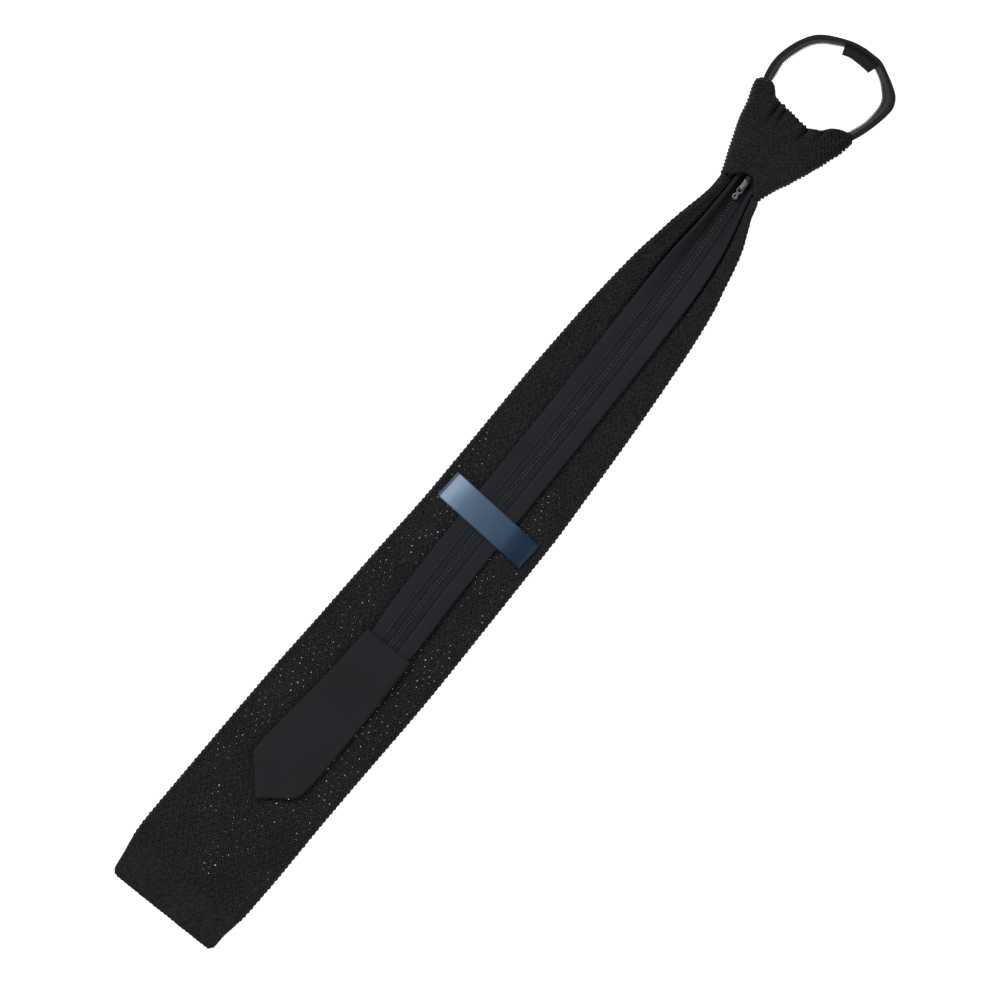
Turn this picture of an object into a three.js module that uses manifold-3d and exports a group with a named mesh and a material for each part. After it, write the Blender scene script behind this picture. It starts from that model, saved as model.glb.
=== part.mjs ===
import * as THREE from "three";
import { mergeVertices } from "three/addons/utils/BufferGeometryUtils.js";
import Module from "manifold-3d";

const wasm = await Module();
wasm.setup();

// A ready-tied knit necktie with a zipper, lying on its front. Sizes are in millimetres.
// +Y runs from the blade's hem to the neck loop, +Z is the side that faces the shirt,
// and the origin is on the surface under the middle of the knot.

const seatGap = 0.3; // between pieces that touch

const bladeLength = 434.4; // from the knot's mouth to the hem
const bladeWidth = 66;
const knitWall = 1.5; // one layer of the knitted tube
const tubeGap = 0.6; // between the tube's two layers
const bladeLift = 2.5; // how far the mouth holds the blade off the surface
const bladeCurl = 5; // how far the blade's edges rise at the mouth

const knotHeight = 47;
const knotWidth = 53.5;
const knotDepth = 21;
const knotWall = 2.2;
const mouthDrop = 21; // from the origin down to the mouth

const sleeveWidth = 7.4; // the folded cloth round each zipper tape
const sleeveThickness = 2;
const tapeReach = 4.4; // from the sleeve's edge to the middle of the zipper
const tapeThickness = 0.7;
const coilWidth = 1.3; // one side's coil
const coilHeight = 1.5;
const coilDrop = 0.5; // how far the coil stands below the middle of its tape

const tailLength = 270; // from the mouth to the tip cover's edge
const tailSway = 5.6; // how far the tail lies to the right of the middle

const loopHeight = 40; // from the knot's left corner to the joint
const jointShift = 5; // the joint lies right of the middle
const jointGap = 0.3;

const patchLength = 15;
const patchHeight = 10.6;
const patchThickness = 1.6;

const tipLength = 94.5;
const tipWidth = 32.4;
const tipWall = 1;

const labelLength = 51.8;
const labelWidth = 14.6;
const labelThickness = 0.8;
const labelDistance = 195; // from the mouth to the middle of the label
const labelTurn = -3.5; // degrees
const labelShift = 4.7; // right of the middle
const labelRamp = 6; // how far out the label takes to come down off the tail

const sliderLength = 8;
const sliderWidth = 4.7; // of its lower plate
const sliderTopWidth = 3;
const sliderPlate = 0.8;
const sliderStart = -1; // its lower end, up from the mouth
const sliderFlange = 0.5;
const wedgeLength = 2.2;
const wedgeWidth = 1.2;
const bridgeLength = 6.2;
const bridgeWidth = 1.4;
const bridgeHeight = 2.2;
const bridgeBar = 0.8;

const pullLength = 6.7; // from the middle of its pin
const pullWidth = 3.2;
const pullThickness = 0.8;
const pullWindow = 2.4; // the window's far end, from the middle of the pin
const pullEyelet = 1.4; // across
const pullEyeletLength = 2.5;
const pullTilt = 4; // degrees below level at rest

const mouthY = -mouthDrop;
const hemY = mouthY - bladeLength;
const bladeThickness = 2 * knitWall + tubeGap;
const { clamp, degToRad, lerp, smoothstep } = THREE.MathUtils;

const cloth = new THREE.MeshStandardMaterial({ color: 0x2b2c2e, roughness: 0.75 });
const knit = new THREE.MeshStandardMaterial({ color: 0x1d1e20, roughness: 0.95 });
const tapeCloth = new THREE.MeshStandardMaterial({ color: 0x26282a, roughness: 0.9 });
const nylon = new THREE.MeshStandardMaterial({ color: 0x34373a, roughness: 0.45 });
const satin = new THREE.MeshStandardMaterial({ color: 0x24406a, roughness: 0.35 });
const metal = new THREE.MeshStandardMaterial({ color: 0x8b8f94, roughness: 0.3, metalness: 1 });

// The value of one column of a table at a place along its key column.
function lookUp(table, key, column, place) {
  const upper = table.findIndex((row) => row[key] >= place);
  if (upper === 0) return table[0][column];
  if (upper < 0) return table.at(-1)[column];
  const [a, b] = [table[upper - 1], table[upper]];
  return lerp(a[column], b[column], (place - a[key]) / (b[key] - a[key]));
}

// A closed surface through rings of as many points each. A looped loft joins its last ring
// to its first, and any other is capped at both ends.
function loft(rings, looped = false) {
  const count = rings[0].length;
  const faces = [];
  const last = looped ? rings.length : rings.length - 1;
  for (let i = 0; i < last; i++)
    for (let j = 0; j < count; j++) {
      const [a, b] = [i * count, ((i + 1) % rings.length) * count];
      const k = (j + 1) % count;
      faces.push(a + j, a + k, b + k, a + j, b + k, b + j);
    }
  if (!looped) {
    const end = (rings.length - 1) * count;
    for (const [a, b, c] of capFaces(rings[0])) faces.push(c, b, a);
    for (const [a, b, c] of capFaces(rings.at(-1))) faces.push(end + a, end + b, end + c);
  }
  const geometry = new THREE.BufferGeometry().setFromPoints(rings.flat());
  geometry.setIndex(faces);
  return facingOut(geometry);
}

// Triangles over a flat ring, turning the way that the ring does.
function capFaces(ring) {
  const normal = new THREE.Vector3();
  ring.forEach((p, i) => normal.add(p.clone().cross(ring[(i + 1) % ring.length])));
  const turn = new THREE.Quaternion().setFromUnitVectors(
    normal.normalize(),
    new THREE.Vector3(0, 0, 1),
  );
  const flat = ring.map((p) => p.clone().applyQuaternion(turn));
  return THREE.ShapeUtils.triangulateShape(
    flat.map((p) => new THREE.Vector2(p.x, p.y)),
    [],
  );
}

function facingOut(geometry) {
  const at = (i) => new THREE.Vector3().fromBufferAttribute(geometry.attributes.position, i);
  const index = geometry.index.array;
  let volume = 0;
  for (let i = 0; i < index.length; i += 3)
    volume += at(index[i]).dot(at(index[i + 1]).cross(at(index[i + 2])));
  if (volume < 0) geometry.index.array.reverse();
  return geometry;
}

function solidOf(geometry) {
  const bare = geometry.clone();
  bare.deleteAttribute("normal");
  bare.deleteAttribute("uv");
  const merged = mergeVertices(bare, 1e-4);
  return new wasm.Manifold(
    new wasm.Mesh({
      numProp: 3,
      vertProperties: merged.attributes.position.array,
      triVerts: new Uint32Array(merged.index.array),
    }),
  );
}

function geometryOf(solid) {
  const { vertProperties, triVerts } = solid.getMesh();
  const geometry = new THREE.BufferGeometry();
  geometry.setAttribute("position", new THREE.BufferAttribute(vertProperties, 3));
  geometry.setIndex(new THREE.BufferAttribute(triVerts, 1));
  return geometry;
}

// The blade: a knitted tube pressed flat. Along is a share of the blade's length, sway and
// width of its width, and lift and curl of their values at the mouth.
const bladeTable = [
  { along: -0.02, sway: 0.0, width: 0.2, lift: 1.05, curl: 0.0 },
  { along: 0.001, sway: 0.0, width: 0.205, lift: 1.05, curl: 0.0 },
  { along: 0.004, sway: -0.006, width: 0.32, lift: 1.05, curl: 0.9 },
  { along: 0.017, sway: 0.006, width: 0.36, lift: 0.97, curl: 1.0 },
  { along: 0.032, sway: 0.02, width: 0.418, lift: 0.86, curl: 0.95 },
  { along: 0.054, sway: 0.034, width: 0.511, lift: 0.62, curl: 0.85 },
  { along: 0.076, sway: 0.039, width: 0.579, lift: 0.36, curl: 0.7 },
  { along: 0.097, sway: 0.043, width: 0.63, lift: 0.16, curl: 0.55 },
  { along: 0.119, sway: 0.048, width: 0.689, lift: 0.04, curl: 0.42 },
  { along: 0.162, sway: 0.053, width: 0.757, lift: 0.0, curl: 0.25 },
  { along: 0.205, sway: 0.055, width: 0.804, lift: 0.0, curl: 0.13 },
  { along: 0.249, sway: 0.059, width: 0.839, lift: 0.0, curl: 0.05 },
  { along: 0.292, sway: 0.063, width: 0.868, lift: 0.0, curl: 0.0 },
  { along: 0.357, sway: 0.071, width: 0.893, lift: 0.0, curl: 0.0 },
  { along: 0.422, sway: 0.077, width: 0.918, lift: 0.0, curl: 0.0 },
  { along: 0.465, sway: 0.075, width: 0.925, lift: 0.0, curl: 0.0 },
  { along: 0.551, sway: 0.061, width: 0.957, lift: 0.0, curl: 0.0 },
  { along: 0.638, sway: 0.048, width: 0.982, lift: 0.0, curl: 0.0 },
  { along: 0.724, sway: 0.025, width: 0.993, lift: 0.0, curl: 0.0 },
  { along: 0.811, sway: 0.007, width: 0.993, lift: 0.0, curl: 0.0 },
  { along: 0.897, sway: -0.004, width: 1.0, lift: 0.0, curl: 0.0 },
  { along: 0.941, sway: -0.011, width: 0.993, lift: 0.0, curl: 0.0 },
  { along: 0.962, sway: -0.011, width: 0.964, lift: 0.0, curl: 0.0 },
  { along: 0.978, sway: -0.011, width: 0.929, lift: 0.0, curl: 0.0 },
  { along: 0.992, sway: -0.007, width: 0.913, lift: 0.0, curl: 0.0 },
  { along: 0.9965, sway: -0.005, width: 0.903, lift: 0.0, curl: 0.0 },
  { along: 0.999, sway: -0.004, width: 0.882, lift: 0.0, curl: 0.0 },
  { along: 1.0, sway: -0.003, width: 0.86, lift: 0.0, curl: 0.0 },
];
const curlPower = 3.2; // the middle stays level and the edges turn up
const bladeSteps = 12; // across each face
const bladeEdgeSteps = 4; // round each edge

const bladeAt = (column, along) => lookUp(bladeTable, "along", column, along);
const bladeMiddle = (along) => bladeAt("sway", along) * bladeWidth;

// The height of the blade's mid-surface at a share across, from -1 to 1.
function bladeHeight(along, across) {
  const curl = bladeAt("curl", along) * bladeCurl * Math.abs(across) ** curlPower;
  return bladeAt("lift", along) * bladeLift + bladeThickness / 2 + curl;
}

// The top of the blade beside a point, which what lies on it is seated on.
function bladeTop(y, x) {
  const along = (mouthY - y) / bladeLength;
  const across = (x - bladeMiddle(along)) / ((bladeAt("width", along) * bladeWidth) / 2);
  return bladeHeight(along, clamp(across, -1, 1)) + bladeThickness / 2;
}

// A ring round the blade at half its thickness, or round its hollow at less.
function bladeRing(along, half) {
  const reach = (bladeAt("width", along) * bladeWidth - bladeThickness) / 2;
  const middle = [];
  for (let i = 0; i <= bladeSteps; i++) {
    const across = (2 * i) / bladeSteps - 1;
    const x = bladeMiddle(along) + across * reach;
    middle.push(new THREE.Vector2(x, bladeHeight(along, across)));
  }
  const normals = middle.map((p, i) => {
    const next = middle[Math.min(i + 1, bladeSteps)];
    const before = middle[Math.max(i - 1, 0)];
    const way = next.clone().sub(before).normalize();
    return new THREE.Vector2(-way.y, way.x);
  });
  const ring = middle.map((p, i) => p.clone().addScaledVector(normals[i], -half));
  const round = (i, from) => {
    for (let k = 1; k < bladeEdgeSteps; k++) {
      const side = normals[i].clone().rotateAround(new THREE.Vector2(), from);
      side.rotateAround(new THREE.Vector2(), (k * Math.PI) / bladeEdgeSteps);
      ring.push(middle[i].clone().addScaledVector(side, half));
    }
  };
  round(bladeSteps, Math.PI);
  for (let i = bladeSteps; i >= 0; i--)
    ring.push(middle[i].clone().addScaledVector(normals[i], half));
  round(0, 0);
  const y = mouthY - along * bladeLength;
  return ring.map((p) => new THREE.Vector3(p.x, y, Math.max(p.y, 0)));
}

function blade() {
  const outer = [...bladeTable].reverse().map((row) => bladeRing(row.along, bladeThickness / 2));
  const hollow = bladeTable
    .filter((row) => row.along < 0.985)
    .map((row) => bladeRing(row.along, tubeGap / 2));
  return loft([...outer, ...hollow]);
}

// The knot: a funnel of wrapped knit, open at the mouth and along the top. Up is a share of
// its height, shift and width of its width, and depth of its depth. A square of 2 is an ellipse.
const knotTable = [
  { up: 0.0, shift: -0.02, width: 0.404, depth: 0.81, square: 4 },
  { up: 0.15, shift: -0.018, width: 0.48, depth: 0.86, square: 4.2 },
  { up: 0.3, shift: -0.014, width: 0.582, depth: 0.92, square: 4.6 },
  { up: 0.5, shift: -0.006, width: 0.724, depth: 0.98, square: 5 },
  { up: 0.7, shift: 0.002, width: 0.84, depth: 1.0, square: 5.6 },
  { up: 0.85, shift: 0.004, width: 0.927, depth: 1.0, square: 6 },
  { up: 0.95, shift: 0.007, width: 0.977, depth: 1.0, square: 6 },
  { up: 1.0, shift: 0.004, width: 1.0, depth: 1.0, square: 6 },
];
// The knot's rim and the notch in its back, by the share across. Height is a share of its own.
const rimTable = [
  { across: -1.0, height: 0.96 },
  { across: -0.9, height: 1.01 },
  { across: -0.75, height: 1.03 },
  { across: -0.65, height: 1.0 },
  { across: -0.55, height: 0.94 },
  { across: -0.2, height: 0.92 },
  { across: 0.15, height: 0.91 },
  { across: 0.3, height: 0.945 },
  { across: 0.5, height: 0.98 },
  { across: 0.62, height: 1.05 },
  { across: 0.75, height: 1.1 },
  { across: 0.88, height: 1.12 },
  { across: 0.95, height: 1.07 },
  { across: 1.0, height: 1.0 },
];
const notchTable = [
  { across: -1.0, height: 0.0 },
  { across: -0.5, height: 0.09 },
  { across: -0.2, height: 0.145 },
  { across: 0.2, height: 0.15 },
  { across: 0.5, height: 0.09 },
  { across: 1.0, height: 0.0 },
];
// The gathers in the back under the rim: place and spread across, depth as a share of the wall.
const gatherTable = [
  { across: -0.42, spread: 0.07, depth: 0.55 },
  { across: -0.22, spread: 0.06, depth: 0.4 },
  { across: 0.27, spread: 0.07, depth: 0.5 },
  { across: 0.52, spread: 0.05, depth: 0.3 },
];
const knotSteps = 72;
const frontPress = 0.6; // what the surface presses flat of the front

function gather(across, up) {
  const reach = smoothstep(up, 0.62, 1);
  let depth = 0;
  for (const row of gatherTable)
    depth += row.depth * Math.exp(-(((across - row.across) / row.spread) ** 2));
  return depth * reach * knotWall;
}

function knotRing(up, inset) {
  const halfWidth = (lookUp(knotTable, "up", "width", up) * knotWidth) / 2 - inset;
  const depth = lookUp(knotTable, "up", "depth", up) * knotDepth;
  const middleX = lookUp(knotTable, "up", "shift", up) * knotWidth;
  const power = 2 / lookUp(knotTable, "up", "square", up);
  const bend = (value) => Math.sign(value) * Math.abs(value) ** power;
  const ring = [];
  for (let i = 0; i < knotSteps; i++) {
    const angle = (2 * Math.PI * i) / knotSteps;
    const across = bend(Math.cos(angle));
    const x = middleX + across * halfWidth;
    const back = Math.sin(angle) > 0;
    const halfDepth = (depth + frontPress) / 2 - inset;
    let z = (depth - frontPress) / 2 + bend(Math.sin(angle)) * halfDepth;
    if (back) z -= gather(across, up) * Math.sin(angle);
    const rim = lookUp(rimTable, "across", "height", across);
    const mouth = back ? lookUp(notchTable, "across", "height", across) : 0;
    const y = mouthY + lerp(mouth, rim, up) * knotHeight;
    ring.push(new THREE.Vector3(x, y, Math.max(z, inset)));
  }
  return ring;
}

function knot() {
  const outer = knotTable.map((row) => knotRing(row.up, 0));
  const inner = knotTable.map((row) => knotRing(row.up, knotWall)).reverse();
  return loft([...outer, ...inner], true);
}

// Each side of the zipper is a tape with a coil along its edge and a cloth sleeve round the
// rest. It runs up the tail, through the knot and round its half of the neck loop.
// A row's point is where the tape leaves the sleeve, sleeve and tape are the angles at which
// the two stand up and hang down from level, and crush is the share of the sleeve's width.
const mouthRise = sliderPlate + seatGap - sleeveThickness / 2 + coilDrop + seatGap;
const tipRise = tipWall + seatGap;

const tailTable = [
  { along: 1.045, sway: 1.0, left: 0, right: 0, crush: 0.88 },
  { along: 1.0, sway: 1.0, left: 0, right: 0, crush: 0.9 },
  { along: 0.985, sway: 0.99, left: 0, right: 0, crush: 0.95 },
  { along: 0.93, sway: 0.88, left: 0, right: 0, crush: 1 },
  { along: 0.85, sway: 0.8, left: 0, right: 0, crush: 1 },
  { along: 0.7, sway: 0.77, left: 0, right: 0, crush: 1 },
  { along: 0.52, sway: 0.8, left: 0, right: 0, crush: 1 },
  { along: 0.35, sway: 0.77, left: 2, right: 2, crush: 1 },
  { along: 0.26, sway: 0.71, left: 8, right: 5, crush: 1 },
  { along: 0.2, sway: 0.64, left: 20, right: 11, crush: 1 },
  { along: 0.15, sway: 0.54, left: 38, right: 24, crush: 1 },
  { along: 0.105, sway: 0.42, left: 56, right: 40, crush: 0.97 },
  { along: 0.075, sway: 0.31, left: 66, right: 52, crush: 0.92 },
  { along: 0.045, sway: 0.18, left: 74, right: 65, crush: 0.86 },
  { along: 0.02, sway: 0.08, left: 80, right: 76, crush: 0.79 },
  { along: 0.0, sway: 0.0, left: 84, right: 82, crush: 0.74 },
];
// Through the knot: up is a share of its height, and spread of the way to its corner.
const throughTable = [
  { up: 0.06, spread: 0.01, tape: 0, sleeve: 86, crush: 0.72 },
  { up: 0.17, spread: 0.06, tape: 0, sleeve: 87, crush: 0.72 },
  { up: 0.3, spread: 0.2, tape: 25, sleeve: 88, crush: 0.78 },
  { up: 0.5, spread: 0.48, tape: 62, sleeve: 88, crush: 0.86 },
  { up: 0.75, spread: 0.8, tape: 82, sleeve: 87, crush: 0.94 },
];
// Round the loop: out is a share of half the knot's width, rise of the loop's height above
// the knot, held how much of the knot's height off the surface is left, and lean in degrees.
const loopTable = {
  left: [
    { out: -0.868, rise: 0.155, held: 0.75, lean: 9 },
    { out: -0.884, rise: 0.318, held: 0.45, lean: 7.4 },
    { out: -0.811, rise: 0.513, held: 0.2, lean: 7.4 },
    { out: -0.736, rise: 0.636, held: 0.08, lean: 5.4 },
    { out: -0.632, rise: 0.744, held: 0.0, lean: 2.5 },
    { out: -0.495, rise: 0.823, held: 0.0, lean: 2 },
    { out: -0.318, rise: 0.895, held: 0.0, lean: 4.5 },
    { out: -0.116, rise: 0.96, held: 0.0, lean: 5.5 },
    { out: 0.037, rise: 0.992, held: 0.0, lean: 7 },
  ],
  right: [
    { out: 0.93, rise: 0.15, held: 0.86, lean: 7 },
    { out: 1.028, rise: 0.338, held: 0.5, lean: 4.4 },
    { out: 1.077, rise: 0.478, held: 0.22, lean: 4 },
    { out: 1.092, rise: 0.575, held: 0.12, lean: 7.4 },
    { out: 1.084, rise: 0.658, held: 0.05, lean: 14 },
    { out: 1.032, rise: 0.735, held: 0.0, lean: 14 },
    { out: 0.935, rise: 0.808, held: 0.0, lean: 11 },
    { out: 0.744, rise: 0.905, held: 0.0, lean: 10 },
    { out: 0.501, rise: 0.978, held: 0.0, lean: 10.9 },
    { out: 0.336, rise: 1.0, held: 0.0, lean: 9.5 },
  ],
};
const jointLean = 8.5; // degrees
const cornerRise = { left: 0.96, right: 0.98 }; // shares of the knot's height
const cornerRoom = 1.2; // between a band and the knot's side
const heldZ = 8.3; // how high the knot holds a tape's edge
const rowSteps = 2; // stations for each row

function sideRows(side) {
  const sign = side === "left" ? -1 : 1;
  const rows = tailTable.map((row) => {
    const along = row.along * tailLength;
    const x = row.sway * tailSway + sign * tapeReach;
    const y = mouthY - along;
    const nearMouth = 1 - smoothstep(along, 0, 0.2 * tailLength);
    const nearTip = smoothstep(along, 0.85 * tailLength, 0.985 * tailLength);
    const z = bladeTop(y, x - sign * tapeReach) + seatGap + sleeveThickness / 2;
    const rise = nearMouth * mouthRise + nearTip * tipRise;
    return { x, y, z: z + rise, sleeve: row[side], tape: 0, crush: row.crush };
  });
  const mouth = rows.at(-1);
  const cornerX =
    lookUp(knotTable, "up", "shift", 1) * knotWidth +
    sign * (knotWidth / 2 - knotWall - sleeveThickness - cornerRoom);
  const cornerY = mouthY + cornerRise[side] * knotHeight;
  for (const row of throughTable)
    rows.push({
      x: lerp(mouth.x, cornerX, row.spread),
      y: lerp(mouthY, cornerY, row.up),
      z: lerp(mouth.z, heldZ, smoothstep(row.up, 0.2, 0.8)),
      sleeve: row.sleeve,
      tape: row.tape,
      crush: row.crush,
    });
  const jointX = jointShift + (sign * jointGap) / 2;
  const joint = { out: jointX / (knotWidth / 2), rise: 1, held: 0, lean: jointLean };
  const corner = { out: cornerX / (knotWidth / 2), rise: 0, held: 1, lean: 2 };
  corner.rise = ((cornerRise[side] - 1) * knotHeight) / loopHeight;
  for (const row of [corner, ...loopTable[side], joint])
    rows.push({
      x: (row.out * knotWidth) / 2,
      y: mouthY + knotHeight + row.rise * loopHeight,
      z: lerp(tapeReach - seatGap / 4, heldZ, row.held),
      sleeve: 90 - row.lean,
      tape: 90 - row.lean,
      crush: 1,
    });
  return rows;
}

// Stations along one side, each with its point, its outward way and its row's angles.
function sideStations(side, steps = rowSteps) {
  const sign = side === "left" ? -1 : 1;
  const rows = sideRows(side);
  const curve = new THREE.CatmullRomCurve3(rows.map((r) => new THREE.Vector3(r.x, r.y, r.z)));
  const stations = [];
  const last = (rows.length - 1) * steps;
  for (let i = 0; i <= last; i++) {
    const place = i / steps;
    const [a, b] = [rows[Math.floor(place)], rows[Math.ceil(place)]];
    const mix = (name) => lerp(a[name], b[name], place % 1);
    const way = curve.getTangent(i / last);
    const level = new THREE.Vector3(way.x, way.y, 0).normalize();
    stations.push({
      point: curve.getPoint(i / last),
      outward: new THREE.Vector3(sign * level.y, -sign * level.x, 0),
      sleeve: degToRad(mix("sleeve")),
      tape: degToRad(mix("tape")),
      crush: mix("crush"),
    });
  }
  return stations;
}

// A ring with the corners given as shares of a station's two ways, in millimetres.
function stationRing(station, angle, sense, corners) {
  const up = new THREE.Vector3(0, 0, 1);
  const way = station.outward.clone().multiplyScalar(Math.cos(angle) * sense);
  way.addScaledVector(up, Math.sin(angle) * sense);
  const across = station.outward.clone().multiplyScalar(-Math.sin(angle));
  across.addScaledVector(up, Math.cos(angle));
  return corners.map(([a, b]) =>
    station.point.clone().addScaledVector(way, a).addScaledVector(across, b),
  );
}

const sleeveRound = 0.6; // how much of the fold's half thickness is rounded

function neckBand(side) {
  const half = sleeveThickness / 2;
  const corner = half * sleeveRound;
  return loft(
    sideStations(side).map((s) => {
      const width = sleeveWidth * s.crush;
      return stationRing(s, s.sleeve, 1, [
        [0, -half * 0.7],
        [width - corner, -half],
        [width, -half + corner],
        [width, half - corner],
        [width - corner, half],
        [0, half * 0.7],
      ]);
    }),
  );
}

function zipTape(side) {
  const half = tapeThickness / 2;
  const end = tapeReach - coilWidth - 1.5 * seatGap;
  return loft(
    sideStations(side).map((s) =>
      stationRing(s, s.tape, -1, [
        [seatGap + sleeveThickness / 2 * Math.sin(s.sleeve - s.tape), -half],
        [end, -half],
        [end, half],
        [seatGap + sleeveThickness / 2 * Math.sin(s.sleeve - s.tape), half],
      ]),
    ),
  );
}

function zipCoil(side) {
  const end = tapeReach - seatGap / 2;
  const start = end - coilWidth;
  return loft(
    sideStations(side).map((s) =>
      stationRing(s, s.tape, -1, [
        [start, -coilDrop],
        [end, -coilDrop],
        [end, coilHeight - coilDrop],
        [start, coilHeight - coilDrop],
      ]),
    ),
  );
}

// The patch over both band ends, on the inner side of the loop's top.
function jointPatch() {
  const top = mouthY + knotHeight + loopHeight / 2;
  const near = (s) => Math.abs(s.point.x - jointShift) < patchLength / 2 && s.point.y > top;
  const left = sideStations("left", 8).filter(near);
  const right = sideStations("right", 8).filter(near).reverse();
  const low = seatGap - tapeReach;
  const inner = sleeveThickness / 2 + seatGap;
  return loft(
    [...left, ...right].map((s) =>
      stationRing(s, s.sleeve, 1, [
        [low, inner],
        [low + patchHeight, inner],
        [low + patchHeight, inner + patchThickness],
        [low, inner + patchThickness],
      ]),
    ),
  );
}

// The tail's tip cover, a flat pocket open at its top. Down is a share of its length, left and
// right of its width from the middle of the zipper, and swell of its hollow.
const tipTable = [
  { down: 0, left: -0.420, right: 0.389, swell: 1 },
  { down: 0.085, left: -0.432, right: 0.392, swell: 1 },
  { down: 0.148, left: -0.438, right: 0.398, swell: 1 },
  { down: 0.275, left: -0.463, right: 0.404, swell: 0.35 },
  { down: 0.381, left: -0.491, right: 0.407, swell: 0.2 },
  { down: 0.624, left: -0.568, right: 0.395, swell: 0.2 },
  { down: 0.762, left: -0.602, right: 0.380, swell: 0.2 },
  { down: 0.804, left: -0.605, right: 0.370, swell: 0.2 },
  { down: 0.836, left: -0.580, right: 0.358, swell: 0.2 },
  { down: 0.873, left: -0.500, right: 0.327, swell: 0.2 },
  { down: 0.894, left: -0.441, right: 0.272, swell: 0.2 },
  { down: 0.984, left: -0.210, right: -0.068, swell: 0.2 },
  { down: 1, left: -0.167, right: -0.114, swell: 0.2 },
];
const tipHollow = sleeveThickness + 2 * seatGap;
const tipHollowEnd = 0.81; // a share of its length
const tipEdgeSteps = 4;

function tipRing(row, inset) {
  const y = mouthY - tailLength - row.down * tipLength;
  const middle = tailSway + ((row.left + row.right) / 2) * tipWidth;
  const half = ((row.right - row.left) / 2) * tipWidth - inset;
  const height = tipHollow * row.swell + 2 * (tipWall - inset);
  const base = bladeTop(y, middle) + seatGap + inset;
  const edge = Math.min(height / 2, half * 0.8);
  const ring = [];
  for (const [sign, from] of [[1, -Math.PI / 2], [-1, Math.PI / 2]])
    for (let k = 0; k <= tipEdgeSteps; k++) {
      const angle = from + (k * Math.PI) / tipEdgeSteps;
      const x = middle + sign * (half - edge) + Math.cos(angle) * edge;
      ring.push(new THREE.Vector3(x, y, base + (height * (1 + Math.sin(angle))) / 2));
    }
  return ring;
}

function tailTip() {
  const outer = [...tipTable].reverse().map((row) => tipRing(row, 0));
  const hollow = tipTable
    .filter((row) => row.down <= tipHollowEnd)
    .map((row) => tipRing(row, tipWall));
  return loft([...outer, ...hollow]);
}

// The label lies over the tail and comes down to the blade on both sides of it.
function keeperLabel() {
  const y = mouthY - labelDistance;
  const turn = degToRad(labelTurn);
  const reach = tapeReach + sleeveWidth + seatGap;
  const low = bladeTop(y, tailSway) + seatGap;
  const high = low + sleeveThickness + seatGap;
  const rings = [];
  const steps = 32;
  for (let i = 0; i <= steps; i++) {
    const along = (i / steps - 0.5) * labelLength;
    const out = Math.abs(along) - reach;
    const base = lerp(high, low, smoothstep(out, 0, labelRamp));
    const corner = (side, z) => {
      const across = (side * labelWidth) / 2;
      return new THREE.Vector3(
        labelShift + along * Math.cos(turn) - across * Math.sin(turn),
        y + along * Math.sin(turn) + across * Math.cos(turn),
        z,
      );
    };
    rings.push([
      corner(-1, base),
      corner(1, base),
      corner(1, base + labelThickness),
      corner(-1, base + labelThickness),
    ]);
  }
  return loft(rings);
}

// A flat plate from an outline, with its holes, standing on a height.
function plate(outline, holes, thickness, base) {
  const shape = new THREE.Shape(outline);
  shape.holes.push(...holes.map((hole) => new THREE.Path(hole)));
  const options = { depth: thickness, bevelEnabled: false, curveSegments: 8 };
  return new THREE.ExtrudeGeometry(shape, options).translate(0, 0, base);
}

function roundedBox(left, right, bottom, top, radius) {
  const points = [];
  const corners = [
    [right - radius, top - radius, 0],
    [left + radius, top - radius, 1],
    [left + radius, bottom + radius, 2],
    [right - radius, bottom + radius, 3],
  ];
  for (const [x, y, quarter] of corners)
    for (let k = 0; k <= 4; k++) {
      const angle = ((quarter + k / 4) * Math.PI) / 2;
      points.push(new THREE.Vector2(x + radius * Math.cos(angle), y + radius * Math.sin(angle)));
    }
  return points;
}

function box(left, right, bottom, top, low, high) {
  const made = new THREE.BoxGeometry(right - left, top - bottom, high - low);
  return made.translate((left + right) / 2, (bottom + top) / 2, (low + high) / 2);
}

const sliderBase = bladeTop(mouthY + sliderStart, sliderWidth / 2) + seatGap;
const tapeHeight = sliderBase + sleeveThickness / 2 + mouthRise;
const sliderTop = tapeHeight - coilDrop + coilHeight + seatGap + sliderPlate;
const sliderLow = mouthY + sliderStart;
const sliderHigh = sliderLow + sliderLength;
const bridgeLow = sliderLow + 0.1;

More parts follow.
